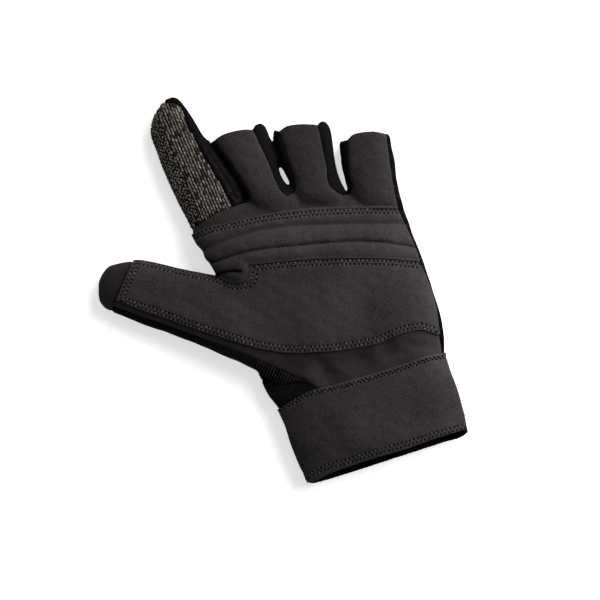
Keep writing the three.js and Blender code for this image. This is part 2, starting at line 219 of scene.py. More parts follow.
PATCH_RIGHT = curve([[79.2, -22.5], [78.4, -16.8], [77.4, -9.8], [74.1, 2], [70.4, 10.9], [68.7, 14.2]])
PATCH_BOTTOM = curve([
    [-83, -4.8], [-72.3, -9.1], [-56.5, -14.6], [-40.5, -20.2], [-24.5, -25.2], [-9, -29.5], [2.7, -31.2],
    [18.6, -30.8], [34.6, -29.2], [46.6, -26.8], [62.5, -20.8], [68, -19.8], [79.2, -22.5],
])
THUMB_OUTER_EDGE = straight([[-39, 11], [-41, 16], [-60, 19], [-74, 20], [-74, 16.2], [-83, -4.8]])
CUFF_TOP = curve([[-8, -62.8], [-2, -59.5], [12.5, -51], [27, -46.8], [59, -37.3], [74.5, -32.2], [88, -30.5]])
FRONT_HEM = curve([
    [98, -67.2], [92.4, -69.3], [87.6, -70.7], [81, -72.6], [75, -74.5], [61.7, -79.2], [48, -83.2],
    [33.6, -87.8], [24.1, -91.5], [19.2, -94], [15.9, -95.6], [14, -96.2], [12.6, -95.8], [11.4, -94.6],
    [10, -91], [4, -88],
])
BACK_HEM = curve([
    [98, -65], [93.9, -69.4], [92.3, -72.1], [89.5, -73.9], [82.5, -76], [72, -79.4], [48, -87.2], [34, -91.8],
    [20, -95.9], [16.8, -96.7], [14.4, -96.8], [12.7, -96.2], [11.4, -94.8], [10, -91], [4, -88],
])
BACK_FINGER_EDGES = straight([
    [-40, 71], [-24, 77.3], [-9, 81], [-7, 78], [9, 81.3], [24.5, 81.3], [26.5, 73.5], [41, 77], [54, 79],
])
QUILT_CREASE = curve([[-46, 17], [-38.3, 20.6], [-25.6, 25.7], [-10.3, 30], [5, 32], [34, 33.2], [66, 33.5]])
QUILT_SEAM = curve([[-40, 11.8], [-36, 13.3], [-17, 19.3], [7, 22.4], [46.5, 24.4], [70, 21.5]])
WEB_CREASE = curve([[-32.5, 7.8], [-29.2, 8.9], [-25, 9.6], [-20.5, 9.3]])


def outline(*edges):
    """One closed outline of edges that follow each other."""
    return np.vstack(edges)


# Panels of the base cloth: name, then outline and lowest and highest point of each part.
# A panel that stands earlier keeps its place, and a later one fills what is left.
BASE_PANELS = [
    ("finger_panel", [(outline(
        KNIT_FOOT, MIDDLE_LEFT, MIDDLE_TOP, MIDDLE_RIGHT, RING_LEFT, RING_TOP, RING_RIGHT,
        LITTLE_LEFT, LITTLE_TOP, LITTLE_RIGHT, back(ROOT_SEAM)), SIDE_SEAM, TALLEST)]),
    ("index_knit", [(outline(
        KNIT_FOOT_LEFT, KNIT_SIDE, straight([[-66, 97], [-80, 80], [-66, 40]])), SIDE_SEAM, TALLEST)]),
    ("thumb_tip", [(outline(THUMB_CAP_EDGE, straight([[-100, 22], [-100, -18]])), BELOW, TALLEST)]),
    ("heel_panel", [(outline(
        ROOT_SEAM, PALM_SIDE, CUFF_UNDER_RIGHT, back(HEEL_LOWER),
        straight([[-83.5, -5], [-74, 16.5], [-74, 20]])), SIDE_SEAM, TALLEST)]),
    ("fourchette_index_middle", [(outline(
        INDEX_MIDDLE_DIVIDE, back(MIDDLE_LEFT)), SIDE_SEAM, TALLEST)]),
    ("fourchette_middle_ring", [(outline(
        back(MIDDLE_RIGHT), MIDDLE_STRIP_TOP, back(RING_LEFT)), SIDE_SEAM, TALLEST)]),
    ("fourchette_ring_little", [(outline(
        back(RING_RIGHT), RING_STRIP_TOP, back(LITTLE_LEFT)), SIDE_SEAM, TALLEST)]),
    ("index_back", [(outline(
        KNIT_FOOT, INDEX_MIDDLE_DIVIDE, straight([[-46, 100], [-80, 100], [-80, 40]])), BELOW, TALLEST)]),
    ("thumb_back", [
        (outline(THUMB_ROOT, straight([[-14, -48], [-100, -30], [-100, 22], [-60, 22]])), BELOW, TALLEST),
        (outline(GUSSET_TOP, straight([[13, -40], [-18, -30]])), SIDE_SEAM, TALLEST)]),
    ("cuff_lining", [
        (outline(CUFF_UNDER, FRONT_HEM), BELOW, TALLEST),
        (outline(CUFF_UNDER, BACK_HEM), BELOW, CUFF_OPENING)]),
    ("back_panel", [(outline(
        BACK_FINGER_EDGES, straight([[80, 40], [100, -30]]), back(CUFF_UNDER),
        straight([[-60, -30], [-60, 30]])), BELOW, TALLEST)]),
]
OVERLAYS = [
    ("palm_patch", [(outline(
        PATCH_BOTTOM, PATCH_RIGHT, PATCH_TOP, WEB_NOTCH, THUMB_OUTER_EDGE), OVERLAY_EDGE, TALLEST)]),
    ("knuckle_pad", [(outline(
        PAD_TOP, PAD_RIGHT, PATCH_TOP, WEB_NOTCH, straight([[-60, 11], [-60, 24.5]])), OVERLAY_EDGE, TALLEST)]),
    ("cuff_band", [
        (outline(CUFF_TOP, FRONT_HEM), BELOW, TALLEST),
        (outline(CUFF_TOP, BACK_HEM), BELOW, CUFF_OPENING - GAP)]),
]

# Half the distance between a stitch track's two rows
DOUBLE = 0.95
CLOSE_DOUBLE = 0.5
SINGLE = 0.0

# How far a track is felt, a distance that stands for no track, and the length of one pucker along it
TRACK_REACH = 4.0
NO_TRACK = 9.0
PUCKER_LENGTH = 6.3

# Stitch tracks of each piece: the middle line, and half the distance between its rows
TRACKS = {
    "knuckle_pad": [
        ([[-46, 25], [-41, 27.8], [-21, 32.8], [-11, 35], [10, 37.6], [34, 39.2], [59, 39.4]], DOUBLE),
        ([[-38, 12.5], [-36, 13.3], [-17, 19.3], [7, 22.4], [46.5, 24.4], [66, 22]], SINGLE),
    ],
    "palm_patch": [
        ([[68.5, 12.3], [54, 13.6], [38.8, 14], [19, 13.6], [7, 12.9], [-8, 11.6], [-13.6, 10.3], [-13.4, 7],
          [-15, 3.4], [-19.5, 1.9], [-25, 1.8], [-32, 4.7], [-37, 6.4], [-41, 6.9], [-50, 8.9], [-61.5, 11.9],
          [-71.8, 14.2]], DOUBLE),
        ([[-72.6, 12.6], [-80.2, -3.8]], DOUBLE),
        ([[-79.6, -4.6], [-72, -7], [-61.5, -10.6], [-50, -14.8], [-41, -18], [-33.5, -20.4], [-22.5, -23.6],
          [-10.5, -26.9], [-3, -28.2], [5, -28.9], [18, -28.7], [33, -27], [46, -24.6], [62, -18.6], [68, -17.6],
          [76.8, -19.8]], DOUBLE),
    ],
    "cuff_band": [
        ([[-6, -62.3], [-0.5, -59.5], [12.8, -52.2], [27.5, -48.6], [59.4, -39.1], [75, -34], [84, -33]],
         CLOSE_DOUBLE),
        ([[13.5, -93], [18.5, -89.9], [33.6, -84.8], [48, -80.3], [61.7, -76.5], [75, -72.3], [93, -67.3]],
         DOUBLE),
    ],
}

# How bright each piece's thread is
THREAD_TONE = {"knuckle_pad": 0.7, "palm_patch": 0.75, "cuff_band": 0.45}

# Dents and folds: line, width, depth of the dent, height of the swell on both sides of it
FOLDS = [
    ([[-31, 8.6], [-25, 9.6], [-19.5, 9.3]], 1.8, 1.0, 0.5),
    ([[-36, 13.5], [-28, 6.4], [-20, 5.8]], 1.8, 0.8, 0.2),
    ([[15, -33], [19.5, -38], [25, -46]], 3.8, 1.2, 0.3),
    ([[33, -34], [40, -35], [46, -37]], 4.2, 0.9, 0.2),
    ([[49, -25], [52.5, -29], [55, -35]], 4.6, 1.4, 0.3),
    ([[62, -27], [70, -28.5], [78, -27]], 2.6, 0.6, 0.25),
    ([[-20, 36], [-10, 41], [-2, 46]], 2.4, 0.5, 0.1),
    ([[12, 43], [20, 42], [28, 45]], 2.6, 0.5, 0.1),
    ([[3, 41], [4, 44], [3, 47]], 1.6, 0.5, 0.1),
    ([[31, 41], [31, 44], [30.5, 47]], 1.6, 0.5, 0.1),
    ([[-52, -2], [-44, -8], [-30, -12]], 7.0, 0.5, 0.1),
    ([[12, -62], [22, -74], [26, -86]], 7.0, 0.7, 0.2),
    ([[46, -50], [52, -62], [66, -74]], 9.0, 0.5, 0.15),
]

# Zones of painted light and shade, where the cloth is made paler or darker: x and y of the middle, half width,
# half height, share of the colour
PAINTED_LIGHT_ZONES = [
    (29, -15, 13, 15, 0.26), (-8, -13, 13, 13, 0.14), (14, 9, 15, 6, -0.28), (48, -11, 9, 22, -0.34),
    (76, -11, 6, 28, 0.5), (-60, 4, 24, 10, -0.24), (-31, -2, 12, 10, -0.16), (60, 24, 11, 11, 0.3),
    (15, 27, 50, 9, 0.08), (39, 8, 7, 22, 0.14), (69, -50, 8, 14, -0.22), (9, -82, 16, 17, -0.56),
    (44, -80, 20, 8, -0.26), (84, -36, 7, 8, 0.25), (88, -70, 8, 7, 0.3), (36, -57, 30, 9, -0.1),
    (78, -57, 9, 10, -0.1), (28, -42, 14, 5, 0.15),
    (-15, 66, 9, 15, 0.44), (-14, 42, 18, 6, -0.26), (19, 56, 12, 16, -0.04), (52, 62, 6, 16, 0.26),
    (39, -30, 9, 8, -0.16), (11, -34, 9, 7, -0.24), (76, -32, 9, 8, 0.3),
]


def bell(distance, width, power=2):
    """1 where there is no distance, and nearly 0 from about two widths on."""
    return np.exp(-((distance / width) ** power))


def painted_light_of(plan):
    """How much the painted light and shade make the cloth paler or darker at points in plan."""
    share = np.zeros(len(plan))
    for x, y, half_width, half_height, amount in PAINTED_LIGHT_ZONES:
        across, along = (plan[:, 0] - x) / half_width, (plan[:, 1] - y) / half_height
        share += amount * np.exp(-(across**2) - along**2)
    return share


def inside(shape, x, y):
    """Which points lie inside an outline."""
    ax, ay = shape[:, 0], shape[:, 1]
    bx, by = np.roll(ax, -1), np.roll(ay, -1)
    rise = np.where(by == ay, 1.0, by - ay)
    crosses = (ay > y[:, None]) != (by > y[:, None])
    reach = ax + (y[:, None] - ay) * (bx - ax) / rise
    return ((crosses & (x[:, None] < reach)).sum(1) % 2) == 1


def nearest_on(line, points, closed=False):
    """For each point in plan: a line's nearest point, the way along the line to it, and the direction there."""
    ends = np.roll(line, -1, axis=0) if closed else line[1:]
    starts = line if closed else line[:-1]
    span = ends - starts
    length = np.maximum(np.linalg.norm(span, axis=1), 1e-9)
    before = np.concatenate([[0], np.cumsum(length)[:-1]])
    offset = points[:, None, :] - starts
    t = np.clip((offset * span).sum(2) / length**2, 0, 1)
    foot = starts + span * t[:, :, None]
    distance = np.linalg.norm(points[:, None, :] - foot, axis=2)
    best = distance.argmin(1)
    rows = np.arange(len(points))
    return foot[rows, best], before[best] + t[rows, best] * length[best], (span / length[:, None])[best]


def label_of(regions, centres):
    """The first region that holds each point, or the number of regions where none does."""
    labels = np.full(len(centres), len(regions))
    for number, (_, parts) in enumerate(regions):
        free = labels == len(regions)
        held = np.zeros(len(centres), bool)
        for shape, low, high in parts:
            level = (centres[:, 2] >= low) & (centres[:, 2] <= high)
            near = np.flatnonzero(free & level & ~held)
            held[near] = inside(shape, centres[near, 0], centres[near, 1])
        labels[held] = number
    return labels


def summed(places, amounts, count):
    """The sum of the vectors that go to each place."""
    return np.stack([np.bincount(places, amounts[:, axis], count) for axis in range(3)], axis=1)


def eased(values, edges, count, share=0.5, only=None):
    """Values at the corners of a mesh, each drawn some way towards its neighbours', several times."""
    first, second = edges[:, 0], edges[:, 1]
    degree = np.bincount(edges.ravel(), minlength=len(values))[:, None]
    for _ in range(count):
        around = summed(first, values[second], len(values)) + summed(second, values[first], len(values))
        moved = values + share * (around / np.maximum(degree, 1) - values)
        values = moved if only is None else np.where(only[:, None], moved, values)
    return values


def unit(vectors):
    """Vectors of length 1."""
    return vectors / np.maximum(np.linalg.norm(vectors, axis=-1, keepdims=True), 1e-9)


def ways_along(points):
    """The way along a run of points to each of them."""
    return np.concatenate([[0], np.cumsum(np.linalg.norm(np.diff(points, axis=0), axis=1))])


def point_at(points, ways, way):
    """The point of a run at a way along it."""
    return np.array([np.interp(way, ways, column) for column in points.T])


def normals_of(points, faces):
    """Normals at the corners of square cells."""
    across = np.cross(points[faces[:, 2]] - points[faces[:, 0]], points[faces[:, 3]] - points[faces[:, 1]])
    return unit(summed(faces.ravel(), np.repeat(across, 4, axis=0), len(points)))


# ---------------------------------------------------------------- meshes as arrays


def read_all(items, field, kind=float, width=1):
    """One field of all items of a mesh, as an array with a row for each item."""
    values = np.empty(len(items) * width, kind)
    items.foreach_get(field, values)
    return values if width == 1 else values.reshape(-1, width)


def mesh_arrays(mesh):
    """The places of a mesh's corners, and the corners of its edges."""
    return read_all(mesh.vertices, "co", float, 3), read_all(mesh.edges, "vertices", int, 2)


def mesh_from(bm, name):
    """A mesh made of an editing mesh, which is freed."""
    mesh = bpy.data.meshes.new(name)
    bm.to_mesh(mesh)
    bm.free()
    return mesh


def opened(*meshes):
    """An editing mesh that holds the given meshes."""
    bm = bmesh.new()
    for mesh in meshes:
        bm.from_mesh(mesh)
    return bm


def store(mesh, name, values):
    """Keeps a number at each corner of a mesh, for its material."""
    mesh.attributes.new(name, "FLOAT", "POINT").data.foreach_set("value", values.astype(np.float32))


def added(name, data):
    """A new object in the scene."""
    thing = bpy.data.objects.new(name, data)
    bpy.context.scene.collection.objects.link(thing)
    return thing


def search_tree(points, numbers):
    """A search tree of the points that have the given numbers."""
    tree = KDTree(len(numbers))
    for number in numbers:
        tree.insert(points[number], int(number))
    tree.balance()
    return tree


# ---------------------------------------------------------------- the skin


def waves(points, size, seed, count=7):
    """A gentle irregular swell between about -1 and 1, with bumps of roughly the given size."""
    draw = np.random.default_rng(seed)
    way = unit(draw.normal(size=(count, 3)))
    length = draw.uniform(0.7, 1.5, count) * size
    phase = draw.uniform(0, 2 * math.pi, count)
    return np.sin(points @ way.T * (2 * math.pi / length) + phase).sum(1) / math.sqrt(count)


def fold_relief(points):
    """How far the dents and folds press the surface in, and how far they swell beside it."""
    relief = np.zeros(len(points))
    for line, width, depth, swell in FOLDS:
        run = run_through(line, 1.0)
        foot, along, _ = nearest_on(run, points[:, :2])
        distance = np.linalg.norm(points[:, :2] - foot, axis=1) / width
        total = along.max()
        fade = np.clip(np.minimum(along, total - along) / (0.3 * total) + 0.25, 0, 1)
        fade = np.where(distance < 4, fade, 0)
        relief += fade * (swell * bell(distance - 1.9, 1.0) - depth * bell(distance, 1.0))
    return np.where(points[:, 2] > FRONT_LEVEL, relief, 0)


def tube_rings(sections, around, roundness):
    """Rings of points through a tube's sections."""
    rows = run_through(sections, RING_SPACING)
    power = np.linspace(*roundness, len(rows))[:, None]
    angle = 2 * math.pi * np.arange(around) / around
    side = -np.sign(np.cos(angle)) * np.abs(np.cos(angle)) ** power
    lift = np.abs(np.sin(angle)) ** power
    left, right, bottom, top = rows[:, 0:2], rows[:, 2:4], rows[:, 4:5], rows[:, 5:6]
    plan = ((left + right) / 2)[:, None] + ((right - left) / 2)[:, None] * side[:, :, None]
    widest = bottom + WIDEST_SHARE * (top - bottom)
    upper = widest + lift * (top - widest)
    lower = widest - np.minimum(lift * BELLY_PRESS, 1) * (widest - bottom)
    return np.dstack([plan, np.where(np.sin(angle) > 0, upper, lower)])


def add_tube(bm, rings):
    """A closed tube through rings: a grid laid on their points, sewn at its side and filled at its ends."""
    rows, around = rings.shape[:2]
    corners = bmesh.ops.create_grid(bm, x_segments=around, y_segments=rows - 1, size=1)["verts"]
    for corner in corners:
        column = round((corner.co.x + 1) / 2 * around) % around
        row = round((corner.co.y + 1) / 2 * (rows - 1))
        corner.co = rings[row, column]
    bmesh.ops.remove_doubles(bm, verts=corners, dist=1e-4)
    bmesh.ops.holes_fill(bm, edges=[edge for edge in bm.edges if edge.is_boundary], sides=0)


def make_form():
    """The whole hand as one even skin of square cells, its roots blended, with the dents of worn cloth."""
    bm = bmesh.new()
    for sections, around, roundness in TUBES:
        add_tube(bm, tube_rings(sections, around, roundness))
    bmesh.ops.recalc_face_normals(bm, faces=bm.faces[:])
    whole = added("hand_form", mesh_from(bm, "hand_form"))
    even = whole.modifiers.new("Even cells", "REMESH")
    even.mode = "VOXEL"
    even.voxel_size = CELL
    bpy.context.view_layer.update()
    skin = bpy.data.meshes.new_from_object(whole.evaluated_get(bpy.context.evaluated_depsgraph_get()))
    bpy.data.objects.remove(whole)
    points, edges = mesh_arrays(skin)
    faces = read_all(skin.loops, "vertex_index", int).reshape(-1, 4)
    points = eased(points, edges, 6)
    x, y, z = points.T
    middle_x, middle_y, half_width, half_height, lowest = THUMB_BLEND
    oval = ((x - middle_x) / half_width) ** 2 + ((y - middle_y) / half_height) ** 2
    points = eased(points, edges, 80, only=(oval < 1) & (z > lowest))
    normals = eased(normals_of(points, faces), edges, 2)
    swell = 0.16 * waves(points, 17, 3) + 0.07 * waves(points, 7, 5)
    points = points + unit(normals) * (swell + fold_relief(points))[:, None]
    normals = unit(eased(normals_of(points, faces), edges, 3))
    return {"mesh": skin, "points": points, "edges": edges, "faces": faces, "normals": normals}


def drawn_to_outlines(form, regions):
    """The form with its cells' corners drawn onto the outlines of the regions, and the region of each cell."""
    points, normals, faces = form["points"].copy(), form["normals"], form["faces"]
    labels = label_of(regions, points[faces].mean(1))
    lowest = np.full(len(points), len(regions))
    highest = np.full(len(points), -1)
    np.minimum.at(lowest, faces.ravel(), np.repeat(labels, 4))
    np.maximum.at(highest, faces.ravel(), np.repeat(labels, 4))
    mixed = lowest != highest
    reach = 1.25 * CELL
    for number, (_, parts) in enumerate(regions):
        own = np.flatnonzero(mixed & (lowest == number))
        if not len(own):
            continue
        place, normal = points[own], normals[own]
        pull = np.zeros((len(own), 3))
        nearest = np.full(len(own), np.inf)
        for shape, low, high in parts:
            foot, _, _ = nearest_on(shape, place[:, :2], closed=True)
            way = np.column_stack([foot - place[:, :2], np.zeros(len(own))])
            distance = np.linalg.norm(way, axis=1)
            slide = unit(way) - (unit(way) * normal).sum(1, keepdims=True) * normal
            steep = (slide**2).sum(1)
            ok = (steep > STEEPEST) & (distance / np.sqrt(np.maximum(steep, 1e-6)) < reach)
            ok &= distance < nearest
            nearest = np.where(ok, distance, nearest)
            step = distance[:, None] * slide / np.maximum(steep, STEEPEST)[:, None]
            pull = np.where(ok[:, None], step, pull)
        for level in {level for _, low, high in parts for level in (low, high) if BELOW < level < TALLEST}:
            rise = level - place[:, 2] - pull[:, 2]
            slide = np.array([0, 0, 1.0]) - normal[:, 2:] * normal
            steep = (slide**2).sum(1)
            ok = (steep > STEEPEST) & (np.abs(rise) / np.sqrt(np.maximum(steep, 1e-6)) < reach)
            pull += np.where(ok[:, None], rise[:, None] * slide / np.maximum(steep, STEEPEST)[:, None], 0)
        points[own] = place + pull
    near = mixed.copy()
    for _ in range(2):
        touching = form["edges"][near[form["edges"]].any(1)]
        near[touching.ravel()] = True
    points = eased(points, form["edges"], 3, 0.5, near & ~mixed)
    return points, labels


def standing(normals):
    """The share of its height that a sewn-on piece keeps, which is less where the side falls away."""
    level = np.clip((np.abs(normals[:, 2]) - 0.1) / 0.6, 0, 1)
    return FLANK_SHARE + (1 - FLANK_SHARE) * level**2 * (3 - 2 * level)


# The skin, made once, and what form_for makes of it
FORM = {}


def form_for(kind):
    """The skin drawn to the base panels, or at the overlays' height to the overlays."""
    if not FORM:
        FORM.update(make_form())
        FORM["base"] = drawn_to_outlines(FORM, BASE_PANELS)
        lift = FORM["normals"] * (OVERLAY_LIFT * standing(FORM["normals"]))[:, None]
        points, labels = drawn_to_outlines({**FORM, "points": FORM["points"] + lift}, OVERLAYS)
        FORM["overlay"] = (points - lift, labels)
    return FORM[kind]


# ---------------------------------------------------------------- pieces of cloth


def cut_sheet(kind, number, refine):
    """The skin of one panel as an open sheet, with the skin's normals kept in it."""
    points, labels = form_for(kind)
    mesh = FORM["mesh"].copy()
    mesh.vertices.foreach_set("co", points.ravel())
    mesh.attributes.new("way_out", "FLOAT_VECTOR", "POINT").data.foreach_set("vector", FORM["normals"].ravel())
    bm = opened(mesh)
    bpy.data.meshes.remove(mesh)
    bm.faces.ensure_lookup_table()
    bmesh.ops.delete(bm, geom=[bm.faces[i] for i in np.flatnonzero(labels != number)], context="FACES")
    for _ in range(refine):
        bmesh.ops.subdivide_edges(bm, edges=bm.edges[:], cuts=1, use_grid_fill=True)
    return mesh_from(bm, "sheet")


class Sheet:
    """The corners of a cut panel as arrays: place, normal, distance to its edge, and the track beside them."""

    def __init__(self, mesh, piece, clearance, lift=0.0):
        self.mesh = mesh
        points, edges = mesh_arrays(mesh)
        self.normals = unit(read_all(mesh.attributes["way_out"].data, "vector", float, 3))
        used = read_all(mesh.loops, "edge_index", int)
        rim_edges = edges[np.bincount(used, minlength=len(edges)) == 1]
        on_rim = np.zeros(len(points), bool)
        on_rim[rim_edges.ravel()] = True
        tree = search_tree(points, np.flatnonzero(on_rim))
        self.rim = np.array([tree.find(point)[2] for point in points])
        inner = edges[on_rim[edges[:, 0]] != on_rim[edges[:, 1]]]
        ends = np.where(on_rim[inner[:, :1]], inner, inner[:, ::-1])
        inward = unit(summed(ends[:, 0], points[ends[:, 1]] - points[ends[:, 0]], len(points)))
        self.points = points + inward * clearance * on_rim[:, None]
        self.plan = (self.points + self.normals * (lift * standing(self.normals))[:, None])[:, :2]
        self.tracks(piece)

    def tracks(self, piece):
        """Finds the way along the nearest track, the distance from its middle, and where its rows lie."""
        count = len(self.points)
        pitch = bpy.context.scene.glove_sizes.stitch_pitch / MM
        self.along, self.aside, self.half = np.zeros(count), np.full(count, NO_TRACK), np.zeros(count)
        for line, half in TRACKS.get(piece, []):
            foot, along, course = nearest_on(run_through(line, 0.5), self.plan)
            offset = self.plan - foot
            far = np.linalg.norm(offset, axis=1)
            along = along + pitch / 2 * (course[:, 0] * offset[:, 1] > course[:, 1] * offset[:, 0])
            closer = (far < self.aside) & (far < TRACK_REACH) & (self.points[:, 2] > FRONT_LEVEL)
            self.along = np.where(closer, along, self.along)
            self.aside = np.where(closer, far, self.aside)
            self.half = np.where(closer, half, self.half)

    def rows(self, width):
        """1 on the rows of stitches, and nearly 0 from about two widths beside them."""
        return bell(np.abs(self.aside - self.half), width)

    def pucker(self):
        """The cloth's small rise and fall along a track."""
        return np.sin(self.along * 2 * math.pi / PUCKER_LENGTH) * (self.aside < TRACK_REACH)

    def away_from(self, line):
        """Distance in plan to a line."""
        return np.linalg.norm(self.plan - nearest_on(line, self.plan)[0], axis=1)


def give_wall(sheet, outer, inner, extras):
    """A closed wall from an open sheet: its corners on the outside and their copies on the inside."""
    bm = opened(sheet.mesh)
    source = bm.verts.layers.int.new("source")
    for number, corner in enumerate(bm.verts):
        corner[source] = number
    made = bmesh.ops.extrude_face_region(bm, geom=bm.faces[:], use_keep_orig=True)["geom"]
    raised = {item for item in made if isinstance(item, bmesh.types.BMVert)}
    for corner in bm.verts:
        corner.co = (outer if corner in raised else inner)[corner[source]]
    bmesh.ops.recalc_face_normals(bm, faces=bm.faces[:])
    mesh = mesh_from(bm, "wall")
    place = read_all(mesh.attributes["source"].data, "value", int)
    for name, values in extras.items():
        store(mesh, name, values[place])
    for name in ("source", "way_out"):
        mesh.attributes.remove(mesh.attributes[name])
    return mesh


def in_frame(points):
    """From the tables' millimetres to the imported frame's metres, with nothing below the floor."""
    placed = (points + SHIFT) * MM
    placed[:, 2] = np.maximum(placed[:, 2], 0)
    return placed


def finish_piece(name, mesh, material, nodes=()):
    """Puts a finished mesh into the scene as a piece of the glove."""
    points, _ = mesh_arrays(mesh)
    mesh.vertices.foreach_set("co", in_frame(points).ravel())
    mesh.polygons.foreach_set("use_smooth", np.ones(len(mesh.polygons), bool))
    mesh.update()
    mesh.name = name
    mesh.materials.append(material)
    piece = added(name, mesh)
    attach(piece, "root")
    if nodes:
        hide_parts(*nodes)
    return piece


# How far from a seam the cloth turns in
SEAM_ROUNDING = 0.9

PANEL_NUMBER = {name: number for number, (name, _) in enumerate(BASE_PANELS)}
OVERLAY_NUMBER = {name: number for number, (name, _) in enumerate(OVERLAYS)}


def sew_panel(name, material, detail=None, extras=None, refine=0, with_mesh=None):
    """One panel of the base cloth: its edges turned in at the seams, with relief from detail."""
    sizes = bpy.context.scene.glove_sizes
    sheet = Sheet(cut_sheet("base", PANEL_NUMBER[name], refine), name, GAP / 2)
    turn_in = -sizes.seam_depth / MM * bell(sheet.rim, SEAM_ROUNDING)
    rise = turn_in + (detail(sheet) if detail else 0)
    outer = sheet.points + sheet.normals * rise[:, None]
    inner = sheet.points - sheet.normals * (sizes.cloth_thickness / MM)
    given = {"rim": sheet.rim, **(extras(sheet) if extras else {})}
    mesh = give_wall(sheet, outer, inner, given)
    if with_mesh:
        mesh = with_mesh(mesh, sheet, outer)
    return finish_piece(f"{name}_cloth", mesh, material, [name])


def sew_overlay(name, material, thickness, detail, edge_width, refine=0, painted_shade_lines=None):
    """A piece sewn on top of the base cloth: full in its middle, thinner and round at its edge."""
    sheet = Sheet(cut_sheet("overlay", OVERLAY_NUMBER[name], refine), name, 0.1, GAP + 0.8 * thickness)
    near = np.clip(sheet.rim / edge_width, 0, 1)
    full = 0.65 + 0.35 * np.sqrt(1 - (1 - near) ** 2)
    share = standing(sheet.normals)
    shown = np.clip(sheet.rim / 0.8, 0, 1) * (share - FLANK_SHARE) / (1 - FLANK_SHARE)
    rise = GAP + thickness * full * share + detail(sheet) * shown
    outer = sheet.points + sheet.normals * rise[:, None]
    inner = sheet.points + sheet.normals * GAP
    # Painted shade darkens the cloth along the given creases, and painted light and shade make it paler and
    # darker in zones
    painted_crease_shade = np.zeros(len(sheet.points)) if painted_shade_lines is None else bell(sheet.away_from(painted_shade_lines), 1.0)
    given = {
        "rim": sheet.rim, "painted_crease_shade": painted_crease_shade, "nap_and_painted_light": painted_light_of(sheet.plan),
        "track_along": sheet.along, "track_aside": sheet.aside, "track_half": sheet.half,
    }
    return finish_piece(f"{name}_cloth", give_wall(sheet, outer, inner, given), material, [name])


def bead_array(around, rings):
    """A small rounded bead, one long and one wide: corners and faces."""
    bm = bmesh.new()
    bmesh.ops.create_uvsphere(bm, u_segments=around, v_segments=rings, radius=0.5)
    bmesh.ops.triangulate(bm, faces=bm.faces[:])
    bm.verts.index_update()
    corners = np.array([corner.co for corner in bm.verts])
    faces = np.array([[corner.index for corner in face.verts] for face in bm.faces])
    bm.free()
    return corners[:, [2, 1, 0]], faces[:, ::-1]


def strewn(centres, along, up, lengths, widths, heights, around=7, rings=5):
    """Many beads as one mesh, each laid along its own direction, and the count of a bead's corners."""
    corners, faces = bead_array(around, rings)
    along = unit(along)
    across = unit(np.cross(up, along))
    up = np.cross(along, across)
    sized = corners[None] * np.stack([lengths, widths, heights], axis=1)[:, None, :]
    placed = (
        centres[:, None] + sized[..., 0:1] * along[:, None]
        + sized[..., 1:2] * across[:, None] + sized[..., 2:3] * up[:, None]
    )
    indices = faces[None] + (np.arange(len(centres)) * len(corners))[:, None, None]
    mesh = bpy.data.meshes.new("beads")
    mesh.from_pydata(placed.reshape(-1, 3).tolist(), [], indices.reshape(-1, 3).tolist())
    return mesh, len(corners)


def surface_of(piece):
    """A search tree over a piece, in the tables' millimetres."""
    points = mesh_arrays(piece.data)[0] / MM - SHIFT
    piece.data.calc_loop_triangles()
    corners = read_all(piece.data.loop_triangles, "vertices", int, 3)
    return BVHTree.FromPolygons(points.tolist(), corners.tolist())


def dropped(tree, x, y):
    """The point and normal of a surface straight below a point in plan, or None."""
    place, normal, _, _ = tree.ray_cast(Vector((x, y, DROP_FROM)), Vector((0, 0, -1)))
    return None if place is None else (np.array(place), np.array(normal))


# The height that stitches are dropped from, and the lowest that they may lie
DROP_FROM = 60
LOWEST_STITCH = 8
# Half a stitch as a share of the pitch, the most it may rise, and the least that its ground may face up
HALF_STITCH = 0.3
STITCH_RISE = 1.2
STITCH_GROUND = 0.25


def stitches_on(piece, name, material):
    """Thread stitches along the tracks of a piece, each lying on its surface between two needle holes."""
    sizes = bpy.context.scene.glove_sizes
    pitch, thread = sizes.stitch_pitch / MM, sizes.thread_width / MM
    tree = surface_of(piece)
    draw = np.random.default_rng(11)
    centres, along, up, sunk_with_painted_shade = [], [], [], []
    for line, half in TRACKS[name]:
        run = run_through(line, 0.25)
        ways = ways_along(run)
        for side in ((-half, half) if half else (0.0,)):
            for middle in np.arange(0 if side > 0 else pitch / 2, ways[-1], pitch):
                hits = []
                for way in (middle - HALF_STITCH * pitch, middle + HALF_STITCH * pitch):
                    course = unit(point_at(run, ways, way + 0.5) - point_at(run, ways, way - 0.5))
                    aside = side * np.array([-course[1], course[0]])
                    hits.append(dropped(tree, *(point_at(run, ways, way) + aside)))
                if None in hits:
                    continue
                (first, first_up), (last, last_up) = hits
                level = abs(first[2] - last[2]) <= STITCH_RISE and first[2] >= LOWEST_STITCH
                if not level or min(abs(first_up[2]), abs(last_up[2])) < STITCH_GROUND:
                    continue
                centres.append((first + last) / 2)
                along.append(last - first + draw.normal(0, 0.12, 3))
                up.append(unit(first_up + last_up))
                sunk_with_painted_shade.append(half == SINGLE)
    centres, along, up, sunk_with_painted_shade = np.array(centres), np.array(along), np.array(up), np.array(sunk_with_painted_shade)
    count = len(centres)
    lengths = np.linalg.norm(along, axis=1) * draw.uniform(0.75, 1.15, count)
    height = np.where(sunk_with_painted_shade, -0.08, draw.uniform(0.0, 0.12, count))
    mesh, each = strewn(
        centres + up * height[:, None], along, up, lengths, thread * draw.uniform(0.85, 1.15, count),
        np.full(count, thread * 0.8))
    # Sunk stitches are darkened to 0.4 as painted shade in their groove
    tone = draw.uniform(0.35, 1.6, count) * THREAD_TONE[name] * np.where(sunk_with_painted_shade, 0.4, 1)
    store(mesh, "tone", np.repeat(tone, each))
    return finish_piece(f"{name}_stitches", mesh, material)


# ---------------------------------------------------------------- materials


